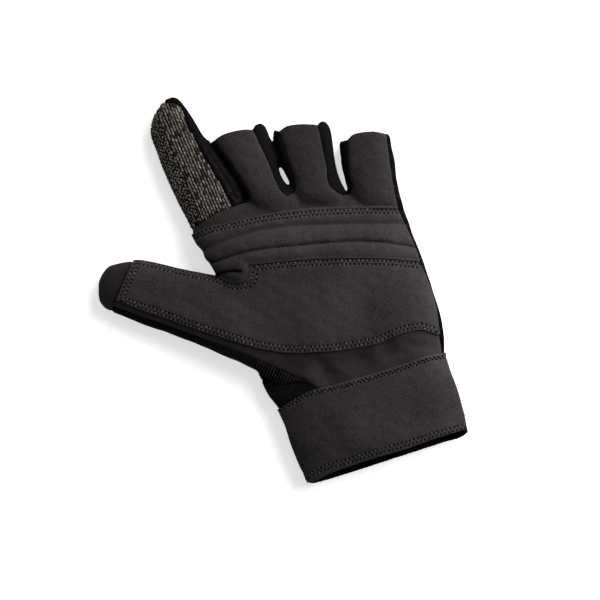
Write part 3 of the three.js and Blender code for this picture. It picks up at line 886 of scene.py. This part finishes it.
class Value:
    """A number that varies over a surface. Sums and products of it add Math nodes."""

    def __init__(self, finish, socket):
        self.finish, self.socket = finish, socket

    def __add__(self, other):
        return self.finish.maths("ADD", self, other)

    def __sub__(self, other):
        return self.finish.maths("SUBTRACT", self, other)

    def __mul__(self, other):
        return self.finish.maths("MULTIPLY", self, other)

    def __rsub__(self, other):
        return self.finish.maths("SUBTRACT", other, self)

    def __abs__(self):
        return self.finish.maths("ABSOLUTE", self)


class Finish:
    """A material under construction, with its shader and its ways to add nodes."""

    def __init__(self, name, roughness, specular, **constants):
        self.material = bpy.data.materials.new(name)
        self.material.use_nodes = True
        self.tree = self.material.node_tree
        self.shader = self.tree.nodes["Principled BSDF"]
        self.shader.inputs["Roughness"].default_value = roughness
        self.shader.inputs["Specular IOR Level"].default_value = specular
        for socket, value in constants.items():
            self.shader.inputs[socket.replace("_", " ")].default_value = value
        self.place = self.tree.nodes.new("ShaderNodeTexCoord").outputs["Object"]

    def fill(self, socket, value):
        """Links a varying value to a socket, or sets a plain one."""
        if isinstance(value, Value):
            self.tree.links.new(value.socket, socket)
        elif isinstance(value, bpy.types.NodeSocket):
            self.tree.links.new(value, socket)
        else:
            socket.default_value = value

    def node(self, kind, settings=None, output=0, **inputs):
        """Adds any node: its settings first, then the values or links of its sockets."""
        node = self.tree.nodes.new(kind)
        for setting, value in (settings or {}).items():
            setattr(node, setting, value)
        for name, value in inputs.items():
            self.fill(node.inputs[name.replace("_", " ")], value)
        return Value(self, node.outputs[output])

    def maths(self, operation, *values):
        """Adds a Math node."""
        node = self.tree.nodes.new("ShaderNodeMath")
        node.operation = operation
        for socket, value in zip(node.inputs, values):
            self.fill(socket, value)
        return Value(self, node.outputs[0])

    def stored(self, name):
        """A number kept at the corners of the piece's own mesh."""
        return self.node("ShaderNodeAttribute", {"attribute_type": "GEOMETRY", "attribute_name": name}, 2)

    def cloud(self, size, detail=2.0, roughness=0.55):
        """Cloudy variation with features of about a size in metres, around zero."""
        noise = self.node(
            "ShaderNodeTexNoise", Vector=self.place, Scale=1 / size, Detail=detail, Roughness=roughness)
        return noise - 0.5

    def smooth(self, value, low, high):
        """0 below low, 1 above high, and smooth between them."""
        return self.node(
            "ShaderNodeMapRange", {"interpolation_type": "SMOOTHSTEP"},
            Value=value, From_Min=low, From_Max=high)

    def blend(self, share, first, second):
        """A colour between two others, the second where the share is 1."""
        node = self.tree.nodes.new("ShaderNodeMix")
        node.data_type = "RGBA"
        self.fill(node.inputs[0], share)
        self.fill(node.inputs[6], first)
        self.fill(node.inputs[7], second)
        return Value(self, node.outputs[2])

    def shaded(self, colour, amount):
        """A colour made lighter or darker by a varying amount around zero."""
        grey = self.tree.nodes.new("ShaderNodeCombineColor")
        for socket in grey.inputs:
            self.fill(socket, amount + 1.0)
        mix = self.tree.nodes.new("ShaderNodeVectorMath")
        mix.operation = "MULTIPLY"
        self.fill(mix.inputs[0], colour if isinstance(colour, Value) else colour[:3])
        self.tree.links.new(grey.outputs[0], mix.inputs[1])
        return Value(self, mix.outputs[0])

    def done(self, colour, height, depth, strength=1.0):
        """Links the colour, and a height that the Bump node turns into the surface's small relief."""
        self.fill(self.shader.inputs["Base Color"], colour)
        bump = self.node("ShaderNodeBump", Height=height, Strength=strength, Distance=depth)
        self.fill(self.shader.inputs["Normal"], bump)
        return self.material


def rgba(colour):
    """A colour as a socket takes it."""
    return (*colour, 1.0)


def suede_finish(name, colour, with_tracks=False):
    """Brushed suede: fine fibres, soft mottling, paler worn edges, zones of painted light and shade, and painted
    shade along creases and in the needle holes and stitch grooves of the tracks.
    """
    sizes = bpy.context.scene.glove_sizes
    finish = Finish(name, 0.92, 0.05, Sheen_Weight=0.02, Sheen_Roughness=0.6)
    fibre = finish.cloud(0.00045, 3.0, 0.65)
    # The fine grain of the nap, the cloth's own texture
    nap_and_painted_light = finish.cloud(0.0011, 2.0, 0.7)
    mottle = finish.cloud(0.006, 3.0, 0.6)
    broad = finish.cloud(0.028, 2.0)
    amount = fibre * 1.3 + nap_and_painted_light * 1.5 + mottle * 0.4 + broad * 0.45
    worn = 1.0 - finish.smooth(finish.stored("rim"), 0.25, 1.1)
    # Paler worn edges, and the zones of painted light and shade
    amount = amount + worn * 0.08 + finish.stored("nap_and_painted_light")
    height = fibre * 0.5 + nap_and_painted_light * 0.5
    if with_tracks:
        pitch = sizes.stitch_pitch / MM
        # Painted shade along the creases
        amount = amount - finish.stored("painted_crease_shade") * 0.75
        along, aside, half = (finish.stored(f"track_{part}") for part in ("along", "aside", "half"))
        row = abs(aside - half)
        cycle = finish.maths("PINGPONG", along, pitch / 2)
        away = finish.maths("SQRT", row * row + cycle * cycle)
        # The needle holes and the grooves of the rows are dented, and darkened as painted shade
        hole_dent_and_painted_shade = 1.0 - finish.smooth(away, 0.36, 0.7)
        groove_dent_and_painted_shade = 1.0 - finish.smooth(row, 0.2, 0.75)
        amount = amount * (1.0 - hole_dent_and_painted_shade) - hole_dent_and_painted_shade * 0.96 - groove_dent_and_painted_shade * 0.12
        height = height - hole_dent_and_painted_shade * 1.6 - groove_dent_and_painted_shade * 0.5
    return finish.done(finish.shaded(rgba(colour), amount), height, 0.00022, 0.9)


def smooth_finish(name, colour):
    """Smooth cloth with a very fine even weave, made paler and darker in zones by painted light and shade."""
    finish = Finish(name, 0.86, 0.05, Sheen_Weight=0.01, Sheen_Roughness=0.6)
    weave = finish.node("ShaderNodeTexVoronoi", {"feature": "F1"}, Vector=finish.place, Scale=1700.0)
    mottle = finish.cloud(0.005, 3.0, 0.6)
    broad = finish.cloud(0.02, 2.0)
    fibre = finish.cloud(0.0006, 2.0)
    # The stored zones are painted light and shade
    amount = fibre * 1.4 + mottle * 0.5 + broad * 0.5 - (weave - 0.4) * 0.12 + finish.stored("nap_and_painted_light")
    return finish.done(finish.shaded(rgba(colour), amount), weave * -0.5 + fibre * 0.4, 0.00016, 0.8)


def rib_finish(name, colour, ridge):
    """Ribbed knit: narrow raised lines of yarn over a nearly black ground."""
    finish = Finish(name, 0.9, 0.02)
    phase = finish.stored("rib")
    strength = finish.stored("rib_strength")
    across = finish.maths("PINGPONG", phase, 0.5) * 2.0
    line = finish.smooth(across, 0.45, 0.95) * strength
    yarn = finish.cloud(0.0007, 2.0)
    broken = finish.smooth(finish.cloud(0.0022, 2.0), -0.12, 0.1)
    shade = finish.blend(line * (broken * 0.65 + 0.35), rgba(colour), rgba(ridge))
    amount = yarn * 0.9 + finish.cloud(0.008, 2.0) * 0.5
    return finish.done(finish.shaded(shade, amount), line + yarn * 0.5, 0.00022, 0.9)


def stretch_finish(name, colour):
    """Thin stretch cloth: tiny loops over black."""
    finish = Finish(name, 0.88, 0.03)
    loops = finish.node("ShaderNodeTexVoronoi", {"feature": "F1"}, Vector=finish.place, Scale=1300.0)
    fibre = finish.cloud(0.0005, 2.0)
    broad = finish.cloud(0.006, 3.0, 0.6)
    amount = fibre * 1.2 + broad * 1.2 - (loops - 0.4) * 0.6
    return finish.done(finish.shaded(rgba(colour), amount), loops * -0.8 + fibre * 0.3, 0.0002, 0.9)


def marl_finish(name, dark, light):
    """Flecked yarn: each loop has its own tone, and twisted fibres run over it."""
    finish = Finish(name, 0.9, 0.05)
    tone = finish.stored("tone")
    fleck = finish.smooth(finish.cloud(0.0009, 2.0, 0.7), -0.12, 0.14)
    fibre = finish.cloud(0.0004, 2.0)
    green = finish.smooth(finish.cloud(0.011, 1.0), 0.06, 0.16) * 0.6
    greenish = (light[0] * 0.62, light[1] * 0.76, light[2] * 0.66)
    yarn = finish.blend(green, rgba(light), rgba(greenish))
    shade = finish.blend(tone * (fleck * 0.6 + 0.4), rgba(dark), yarn)
    return finish.done(finish.shaded(shade, fibre * 0.9), fibre + fleck * 0.5, 0.00018, 0.8)


def thread_finish(name, colour):
    """Twisted sewing thread."""
    finish = Finish(name, 0.7, 0.1)
    twist = finish.cloud(0.0004, 2.0)
    worn = finish.cloud(0.004, 2.0)
    amount = (twist * 1.2 + worn * 0.6 + 1.0) * finish.stored("tone") - 1.0
    return finish.done(finish.shaded(rgba(colour), amount), twist, 0.00015, 0.8)


# ---------------------------------------------------------------- sizes and colours


def length_of(name, description, default):
    """A size in metres for the panel."""
    return FloatProperty(name=name, description=description, default=default, min=0.0, unit="LENGTH")


def colour_of(name, description, default):
    """A colour for the panel."""
    return FloatVectorProperty(
        name=name, description=description, default=default, size=3, min=0, max=1, subtype="COLOR")


class GloveSizes(bpy.types.PropertyGroup):
    """Sizes of the cloth, the pad and the stitches."""

    cloth_thickness: length_of("Cloth thickness", "Wall of the base cloth", 0.0015)
    patch_thickness: length_of("Patch thickness", "Suede of the palm patch", 0.0012)
    pad_thickness: length_of("Pad thickness", "Foam and suede over the knuckles", 0.0024)
    cuff_thickness: length_of("Cuff thickness", "Suede of the cuff band", 0.0016)
    quilt_depth: length_of("Quilt depth", "How deep the pad is sewn down along its two grooves", 0.0013)
    seam_depth: length_of("Seam depth", "How far a panel's edge turns in at a seam", 0.00055)
    stitch_pitch: length_of("Stitch pitch", "From one needle hole to the next", 0.0021)
    thread_width: length_of("Thread width", "Width of the sewing thread", 0.00052)
    rib_pitch: length_of("Rib pitch", "From one rib of the thumb's knit to the next", 0.0015)
    wale_pitch: length_of("Wale pitch", "From one column of knitted loops to the next", 0.00146)
    loop_length: length_of("Loop length", "Length of one knitted loop on the index finger", 0.0021)


class GloveColours(bpy.types.PropertyGroup):
    """Colours of the cloths and the thread."""

    suede: colour_of("Suede", "Palm patch, pad and cuff band", (0.0205, 0.0175, 0.0182))
    finger: colour_of("Finger suede", "Fronts of the three cut-off fingers", (0.0155, 0.0130, 0.0136))
    smooth: colour_of("Smooth cloth", "Heel panel and thumb end", (0.0160, 0.0133, 0.0139))
    stretch: colour_of("Stretch cloth", "Strips between the fingers and cuff lining", (0.0031, 0.0028, 0.0029))
    rib: colour_of("Rib ground", "Ground of the ribbed knit", (0.0016, 0.0014, 0.0015))
    rib_line: colour_of("Rib line", "Raised lines of the ribbed knit", (0.022, 0.020, 0.021))
    yarn_dark: colour_of("Dark yarn", "Ground of the marl knit", (0.0030, 0.0026, 0.0025))
    yarn_light: colour_of("Light yarn", "Light flecks of the marl knit", (0.165, 0.150, 0.132))
    thread: colour_of("Thread", "Sewing thread", (0.082, 0.074, 0.076))


# ---------------------------------------------------------------- operators


class GLOVE_OT_finger_panel(bpy.types.Operator):
    """Sew the suede front that the middle, ring and little fingers share"""

    bl_idname = "glove.finger_panel"
    bl_label = "Finger fronts"

    def execute(self, context):
        colours = context.scene.glove_colours
        # The finger fronts are made paler and darker in zones by painted light and shade
        sew_panel("finger_panel", suede_finish("finger_suede", colours.finger),
                  lambda sheet: 0.08 * waves(sheet.points, 4.5, 21), lambda sheet: {"nap_and_painted_light": painted_light_of(sheet.plan)})
        return {"FINISHED"}


class GLOVE_OT_palm_patch(bpy.types.Operator):
    """Sew the suede patch over the palm and the thumb, with its double rows of stitches"""

    bl_idname = "glove.palm_patch"
    bl_label = "Palm patch"

    def execute(self, context):
        colours, sizes = context.scene.glove_colours, context.scene.glove_sizes

        def relief(sheet):
            return -0.3 * sheet.rows(0.7) + 0.08 * sheet.pucker() + 0.05 * waves(sheet.points, 5, 31)

        piece = sew_overlay(
            "palm_patch", suede_finish("palm_suede", colours.suede, True),
            sizes.patch_thickness / MM, relief, 0.8, refine=1)
        stitches_on(piece, "palm_patch", thread_finish("patch_thread", colours.thread))
        return {"FINISHED"}


class GLOVE_OT_knuckle_pad(bpy.types.Operator):
    """Sew the quilted pad across the roots of the fingers: three soft tiers between two grooves"""

    bl_idname = "glove.knuckle_pad"
    bl_label = "Knuckle pad"

    def execute(self, context):
        colours, sizes = context.scene.glove_colours, context.scene.glove_sizes
        depth = sizes.quilt_depth / MM

        def relief(sheet):
            rise = np.zeros(len(sheet.points))
            nearest = sheet.rim
            for line, width in ((QUILT_CREASE, 1.5), (QUILT_SEAM, 1.1)):
                distance = sheet.away_from(line)
                nearest = np.minimum(nearest, distance)
                rise -= depth * bell(distance, width, 1.6)
            under_patch = np.minimum(sheet.away_from(PATCH_TOP), sheet.away_from(WEB_NOTCH))
            rise -= 0.9 * bell(under_patch, 2.2) + 1.3 * bell(sheet.away_from(WEB_CREASE), 0.7)
            puff = 0.35 * np.clip(nearest / 4, 0, 1)
            pressed = -0.55 * bell(sheet.aside, 1.7, 4) * (sheet.half == DOUBLE)
            rows = -0.2 * sheet.rows(0.5)
            return rise + puff + pressed + rows + 0.07 * sheet.pucker() + 0.1 * waves(sheet.points, 8, 41)

        piece = sew_overlay(
            "knuckle_pad", suede_finish("pad_suede", colours.suede, True),
            sizes.pad_thickness / MM, relief, 1.5, refine=1, painted_shade_lines=WEB_CREASE)
        stitches_on(piece, "knuckle_pad", thread_finish("pad_thread", colours.thread))
        return {"FINISHED"}


class GLOVE_OT_heel_panel(bpy.types.Operator):
    """Sew the smooth cloth under the palm patch, which shows at the heel of the hand, and the thumb's end"""

    bl_idname = "glove.heel_panel"
    bl_label = "Heel panel and thumb end"

    def execute(self, context):
        colours = context.scene.glove_colours
        material = smooth_finish("heel_cloth", colours.smooth)
        # The heel is made paler and darker in zones by painted light and shade
        sew_panel("heel_panel", material, lambda sheet: 0.06 * waves(sheet.points, 5, 51),
                  lambda sheet: {"nap_and_painted_light": painted_light_of(sheet.plan)})
        # The thumb's end is the heel's cloth darkened to 0.72 as painted shade
        sew_panel("thumb_tip", smooth_finish("thumb_tip_cloth", tuple(colours.smooth * 0.72)),
                  lambda sheet: 0.05 * waves(sheet.points, 4, 52))
        return {"FINISHED"}


def rib_phase(points, angle, pitch):
    """Count of ribs across a run of ribs that stand at an angle in degrees to +X in plan."""
    turn = math.radians(angle)
    return (points[:, 0] * math.sin(turn) - points[:, 1] * math.cos(turn)) / pitch


class GLOVE_OT_ribbed_backs(bpy.types.Operator):
    """Sew the ribbed knit of the back of the hand, the thumb's outer side and the index finger's back"""

    bl_idname = "glove.ribbed_backs"
    bl_label = "Ribbed backs"

    def execute(self, context):
        colours, sizes = context.scene.glove_colours, context.scene.glove_sizes
        pitch = sizes.rib_pitch / MM

        def thumb_ribs(sheet):
            return rib_phase(sheet.points, 66, pitch)

        def thumb_strength(sheet):
            """Clear near the palm's root, and faint along the thumb and towards the floor."""
            near_palm = np.clip((sheet.points[:, 0] + 60) / 40, 0, 1)
            raised = np.clip((sheet.points[:, 2] - 5) / 5, 0.25, 1)
            return (0.12 + 0.88 * near_palm**2) * raised

        def thumb_relief(sheet):
            ridges = bell(thumb_ribs(sheet) % 1 - 0.5, 0.22)
            return 0.2 * ridges * thumb_strength(sheet) * np.clip(sheet.rim / 1.2, 0, 1)

        def thumb_extras(sheet):
            return {"rib": thumb_ribs(sheet), "rib_strength": thumb_strength(sheet)}

        sew_panel("thumb_back", rib_finish("thumb_rib", colours.rib, colours.rib_line),
                  thumb_relief, thumb_extras, refine=1)

        def index_ribs(sheet):
            middle = bell(sheet.rim - 2.3, 1.1) * np.clip((84 - sheet.points[:, 1]) / 15, 0.15, 1)
            return {"rib": rib_phase(sheet.points, 30, 1.15), "rib_strength": middle}

        def piping(sheet):
            return 0.25 * (bell(sheet.rim - 1.0, 0.8) * (sheet.points[:, 2] > SIDE_SEAM))

        sew_panel("index_back", rib_finish("index_rib", colours.rib, colours.rib_line),
                  piping, index_ribs)

        def back_ribs(sheet):
            """Ribs from the wrist to the fingers and down the sides, and slanting ones at the gusset that fade
            out towards the fold under its top as painted shade.
            """
            x, y, z = sheet.points.T
            wrist = (z > SIDE_SEAM) & (x < 24) & (y < -36)
            around = x + z * np.tanh((x - 24 + 0.4 * y) / 12)
            phase = np.where(wrist, rib_phase(sheet.points, 54, 1.2), around / 1.6)
            # The slanting ribs fade out at the side seam and towards the fold under the gusset's top, leaving
            # the ground black there as a painted fold shadow
            wrist_fade_and_fold_shade = np.clip((z - SIDE_SEAM) / 1.5, 0, 1) * np.clip((-45.5 - y) / 5, 0, 1)
            fade = np.where(wrist, wrist_fade_and_fold_shade, 0.6 - 0.35 * np.clip((z - 2) / 5, 0, 1))
            return {"rib": phase, "rib_strength": fade}

        sew_panel("back_panel", rib_finish("back_rib", colours.rib, colours.rib_line),
                  None, back_ribs)
        return {"FINISHED"}


class GLOVE_OT_stretch_strips(bpy.types.Operator):
    """Sew the stretch strips between the fingers and the lining of the cuff"""

    bl_idname = "glove.stretch_strips"
    bl_label = "Finger strips and cuff lining"

    def execute(self, context):
        colours = context.scene.glove_colours
        strips = ("fourchette_index_middle", "fourchette_middle_ring", "fourchette_ring_little")
        for name in (*strips, "cuff_lining"):
            sew_panel(name, stretch_finish(f"{name}_stretch", colours.stretch),
                      lambda sheet: 0.05 * waves(sheet.points, 4, 61))
        return {"FINISHED"}


# The knitted finger's middle line from its root to its tip, the way up it, and the way across it
KNIT_ROOT = np.array([-33.5, 33.0, 6.0])
KNIT_TIP = np.array([-58.5, 92.0, 6.0])
KNIT_UP = unit(KNIT_TIP - KNIT_ROOT)
KNIT_ACROSS = np.cross(KNIT_UP, [0, 0, 1.0])

# The knit's columns past this one, counted from its middle to the thumb's side, are fine and rough
ROUGH_FROM = 3


def loop_places(tree, wale, loop):
    """Where the loops of the knit lie, row by row: place, number of the column, and share of a column."""
    places = []
    for step in np.arange(-14, np.linalg.norm(KNIT_TIP - KNIT_ROOT) + 6, loop):
        origin = KNIT_ROOT + KNIT_UP * step
        ring, angles = [], []
        for angle in np.radians(np.arange(-40, 221, 2.5)):
            way = KNIT_ACROSS * math.cos(angle) + np.array([0, 0, 1.0]) * math.sin(angle)
            hit = tree.ray_cast(Vector(origin), Vector(way), 40)[0]
            if hit is not None:
                ring.append(np.array(hit))
                angles.append(angle)
        if len(ring) < 4:
            continue
        ring = np.array(ring)
        ways = ways_along(ring)
        middle = np.interp(math.pi / 2, angles, ways)
        for column in range(math.ceil((ways[0] - middle) / wale), math.floor((ways[-1] - middle) / wale) + 1):
            for part in (0, 0.5) if column > ROUGH_FROM else (0,):
                places.append((point_at(ring, ways, middle + (column + part) * wale), column, part))
    return places


def knit_loops(mesh, sheet, outer):
    """The ground of the knit with its loops, which are even in the middle, and fine and rough at the side."""
    sizes = bpy.context.scene.glove_sizes
    wale, loop = sizes.wale_pitch / MM, sizes.loop_length / MM
    tree = BVHTree.FromPolygons(outer.tolist(), [list(face.vertices) for face in sheet.mesh.polygons])
    rims = search_tree(sheet.points, range(len(sheet.points)))
    draw = np.random.default_rng(7)
    centres, along, up, lengths, widths, tones = [], [], [], [], [], []
    for place, column, part in loop_places(tree, wale, loop):
        rough = column > ROUGH_FROM
        shift = (0.5 * loop if column % 2 else 0) + part * loop + draw.normal(0, 0.3 if rough else 0.18)
        aside = draw.normal(0, 0.25 if rough else 0.06)
        placed, _, _, away = tree.find_nearest(Vector(place + KNIT_UP * shift + KNIT_ACROSS * aside))
        _, nearest, reach = rims.find(placed)
        if away > 1.5 or reach > 1.5 or sheet.rim[nearest] < 0.45:
            continue
        normal = sheet.normals[nearest]
        lie = KNIT_UP + KNIT_ACROSS * draw.normal(0, 0.5 if rough else 0.10)
        centres.append(np.array(placed))
        along.append(lie - normal * (lie @ normal))
        up.append(normal)
        lengths.append(loop * (draw.uniform(0.4, 0.75) if rough else draw.uniform(0.95, 1.3)))
        widths.append(wale * (draw.uniform(0.4, 0.6) if rough else draw.uniform(0.6, 0.8)))
        bright = 1.05 if rough else 0.95
        tones.append(bright * (0.1 if draw.uniform() < 0.14 else draw.uniform(0.45, 1.1)))
    loops, each = strewn(
        np.array(centres) + np.array(up) * 0.12, np.array(along), np.array(up),
        np.array(lengths), np.array(widths), np.full(len(centres), 0.7), 7, 6)
    knitted = mesh_from(opened(mesh, loops), "knitted")
    store(knitted, "tone", np.concatenate([np.full(len(mesh.vertices), 0.05), np.repeat(tones, each)]))
    return knitted


class GLOVE_OT_index_knit(bpy.types.Operator):
    """Knit the front of the index finger: columns of flecked loops over a dark ground"""

    bl_idname = "glove.index_knit"
    bl_label = "Index finger knit"

    def execute(self, context):
        colours = context.scene.glove_colours
        material = marl_finish("marl_knit", colours.yarn_dark, colours.yarn_light)
        sew_panel("index_knit", material, lambda sheet: np.full(len(sheet.points), -0.35),
                  with_mesh=knit_loops)
        return {"FINISHED"}


class GLOVE_OT_cuff_band(bpy.types.Operator):
    """Sew the suede band round the cuff, with its rows of stitches"""

    bl_idname = "glove.cuff_band"
    bl_label = "Cuff band"

    def execute(self, context):
        colours, sizes = context.scene.glove_colours, context.scene.glove_sizes

        def relief(sheet):
            return -0.25 * sheet.rows(0.7) + 0.07 * waves(sheet.points, 6, 71)

        piece = sew_overlay(
            "cuff_band", suede_finish("cuff_suede", colours.suede, True),
            sizes.cuff_thickness / MM, relief, 0.8)
        stitches_on(piece, "cuff_band", thread_finish("cuff_thread", colours.thread))
        return {"FINISHED"}


# The stage in metres and watts. Lights: name, place, width, power.
FLOOR_HALF = 3.0
FLOOR_DEPTH = 0.0002
FLOOR_GREY = 0.6
FLOOR_GLOW = 0.6
WORLD_STRENGTH = 0.25
LIGHTS = (
    ("key", (0.93, 0.79, 0.78), 1.6, 58.0),
    ("fill", (-0.1, 0.9, 1.1), 1.2, 2.5),
)
CAMERA_HEIGHT = 1.6
SENSOR_WIDTH = 36.0
# The picture's width at the glove's level, that level, and the point under the camera in millimetres
PICTURE_WIDTH = 0.300
GLOVE_LEVEL = 0.012
UNDER_CAMERA = (9.0, -4.75, 0.0)


class GLOVE_OT_stage(bpy.types.Operator):
    """Lay the pale floor and set the soft lights and the camera straight above the glove"""

    bl_idname = "glove.stage"
    bl_label = "Stage"

    def execute(self, context):
        scene = context.scene
        bm = bmesh.new()
        bmesh.ops.create_grid(bm, x_segments=4, y_segments=4, size=FLOOR_HALF)
        mesh = mesh_from(bm, "floor")
        finish = Finish("floor_paper", 0.95, 0.05, Emission_Color=(1, 1, 1, 1), Emission_Strength=FLOOR_GLOW)
        grain = finish.cloud(0.02, 2.0)
        paper = finish.shaded(rgba([FLOOR_GREY] * 3), grain * 0.01)
        mesh.materials.append(finish.done(paper, grain, 0.0001, 0.1))
        floor = added("floor", mesh)
        floor.location.z = -FLOOR_DEPTH

        world = bpy.data.worlds.new("studio")
        world.use_nodes = True
        background = world.node_tree.nodes["Background"]
        background.inputs["Color"].default_value = (1, 1, 1, 1)
        background.inputs["Strength"].default_value = WORLD_STRENGTH
        scene.world = world
        for name, place, size, power in LIGHTS:
            light = bpy.data.lights.new(name, "AREA")
            light.shape, light.size, light.energy = "DISK", size, power
            lamp = added(name, light)
            lamp.location = place
            lamp.rotation_euler = (-Vector(place)).to_track_quat("-Z", "Y").to_euler()

        camera = bpy.data.cameras.new("camera")
        camera.sensor_width = SENSOR_WIDTH
        camera.lens = SENSOR_WIDTH * (CAMERA_HEIGHT - GLOVE_LEVEL) / PICTURE_WIDTH
        camera.clip_end = 20
        stand = added("camera", camera)
        under = (np.array(UNDER_CAMERA) + SHIFT) * MM
        stand.location = (under[0], under[1], CAMERA_HEIGHT)
        scene.camera = stand
        scene.view_settings.view_transform = "Standard"
        return {"FINISHED"}


class GLOVE_PT_sidebar(bpy.types.Panel):
    """Sizes, colours and steps of the glove"""

    bl_idname = "GLOVE_PT_sidebar"
    bl_label = "Casting glove"
    bl_space_type = "VIEW_3D"
    bl_region_type = "UI"
    bl_category = "Glove"

    def draw(self, context):
        for group in (context.scene.glove_sizes, context.scene.glove_colours):
            for name in group.__annotations__:
                self.layout.prop(group, name)
        for step in STEPS:
            self.layout.operator(step.bl_idname)


STEPS = (
    GLOVE_OT_finger_panel,
    GLOVE_OT_palm_patch,
    GLOVE_OT_knuckle_pad,
    GLOVE_OT_heel_panel,
    GLOVE_OT_ribbed_backs,
    GLOVE_OT_stretch_strips,
    GLOVE_OT_index_knit,
    GLOVE_OT_cuff_band,
    GLOVE_OT_stage,
)
CLASSES = (GloveSizes, GloveColours, *STEPS, GLOVE_PT_sidebar)


def register():
    for kind in CLASSES:
        bpy.utils.register_class(kind)
    bpy.types.Scene.glove_sizes = PointerProperty(type=GloveSizes)
    bpy.types.Scene.glove_colours = PointerProperty(type=GloveColours)


def unregister():
    del bpy.types.Scene.glove_sizes
    del bpy.types.Scene.glove_colours
    for kind in reversed(CLASSES):
        bpy.utils.unregister_class(kind)


def main():
    register()
    for step in STEPS:
        group, name = step.bl_idname.split(".")
        getattr(getattr(bpy.ops, group), name)()


if __name__ == "__main__":
    main()
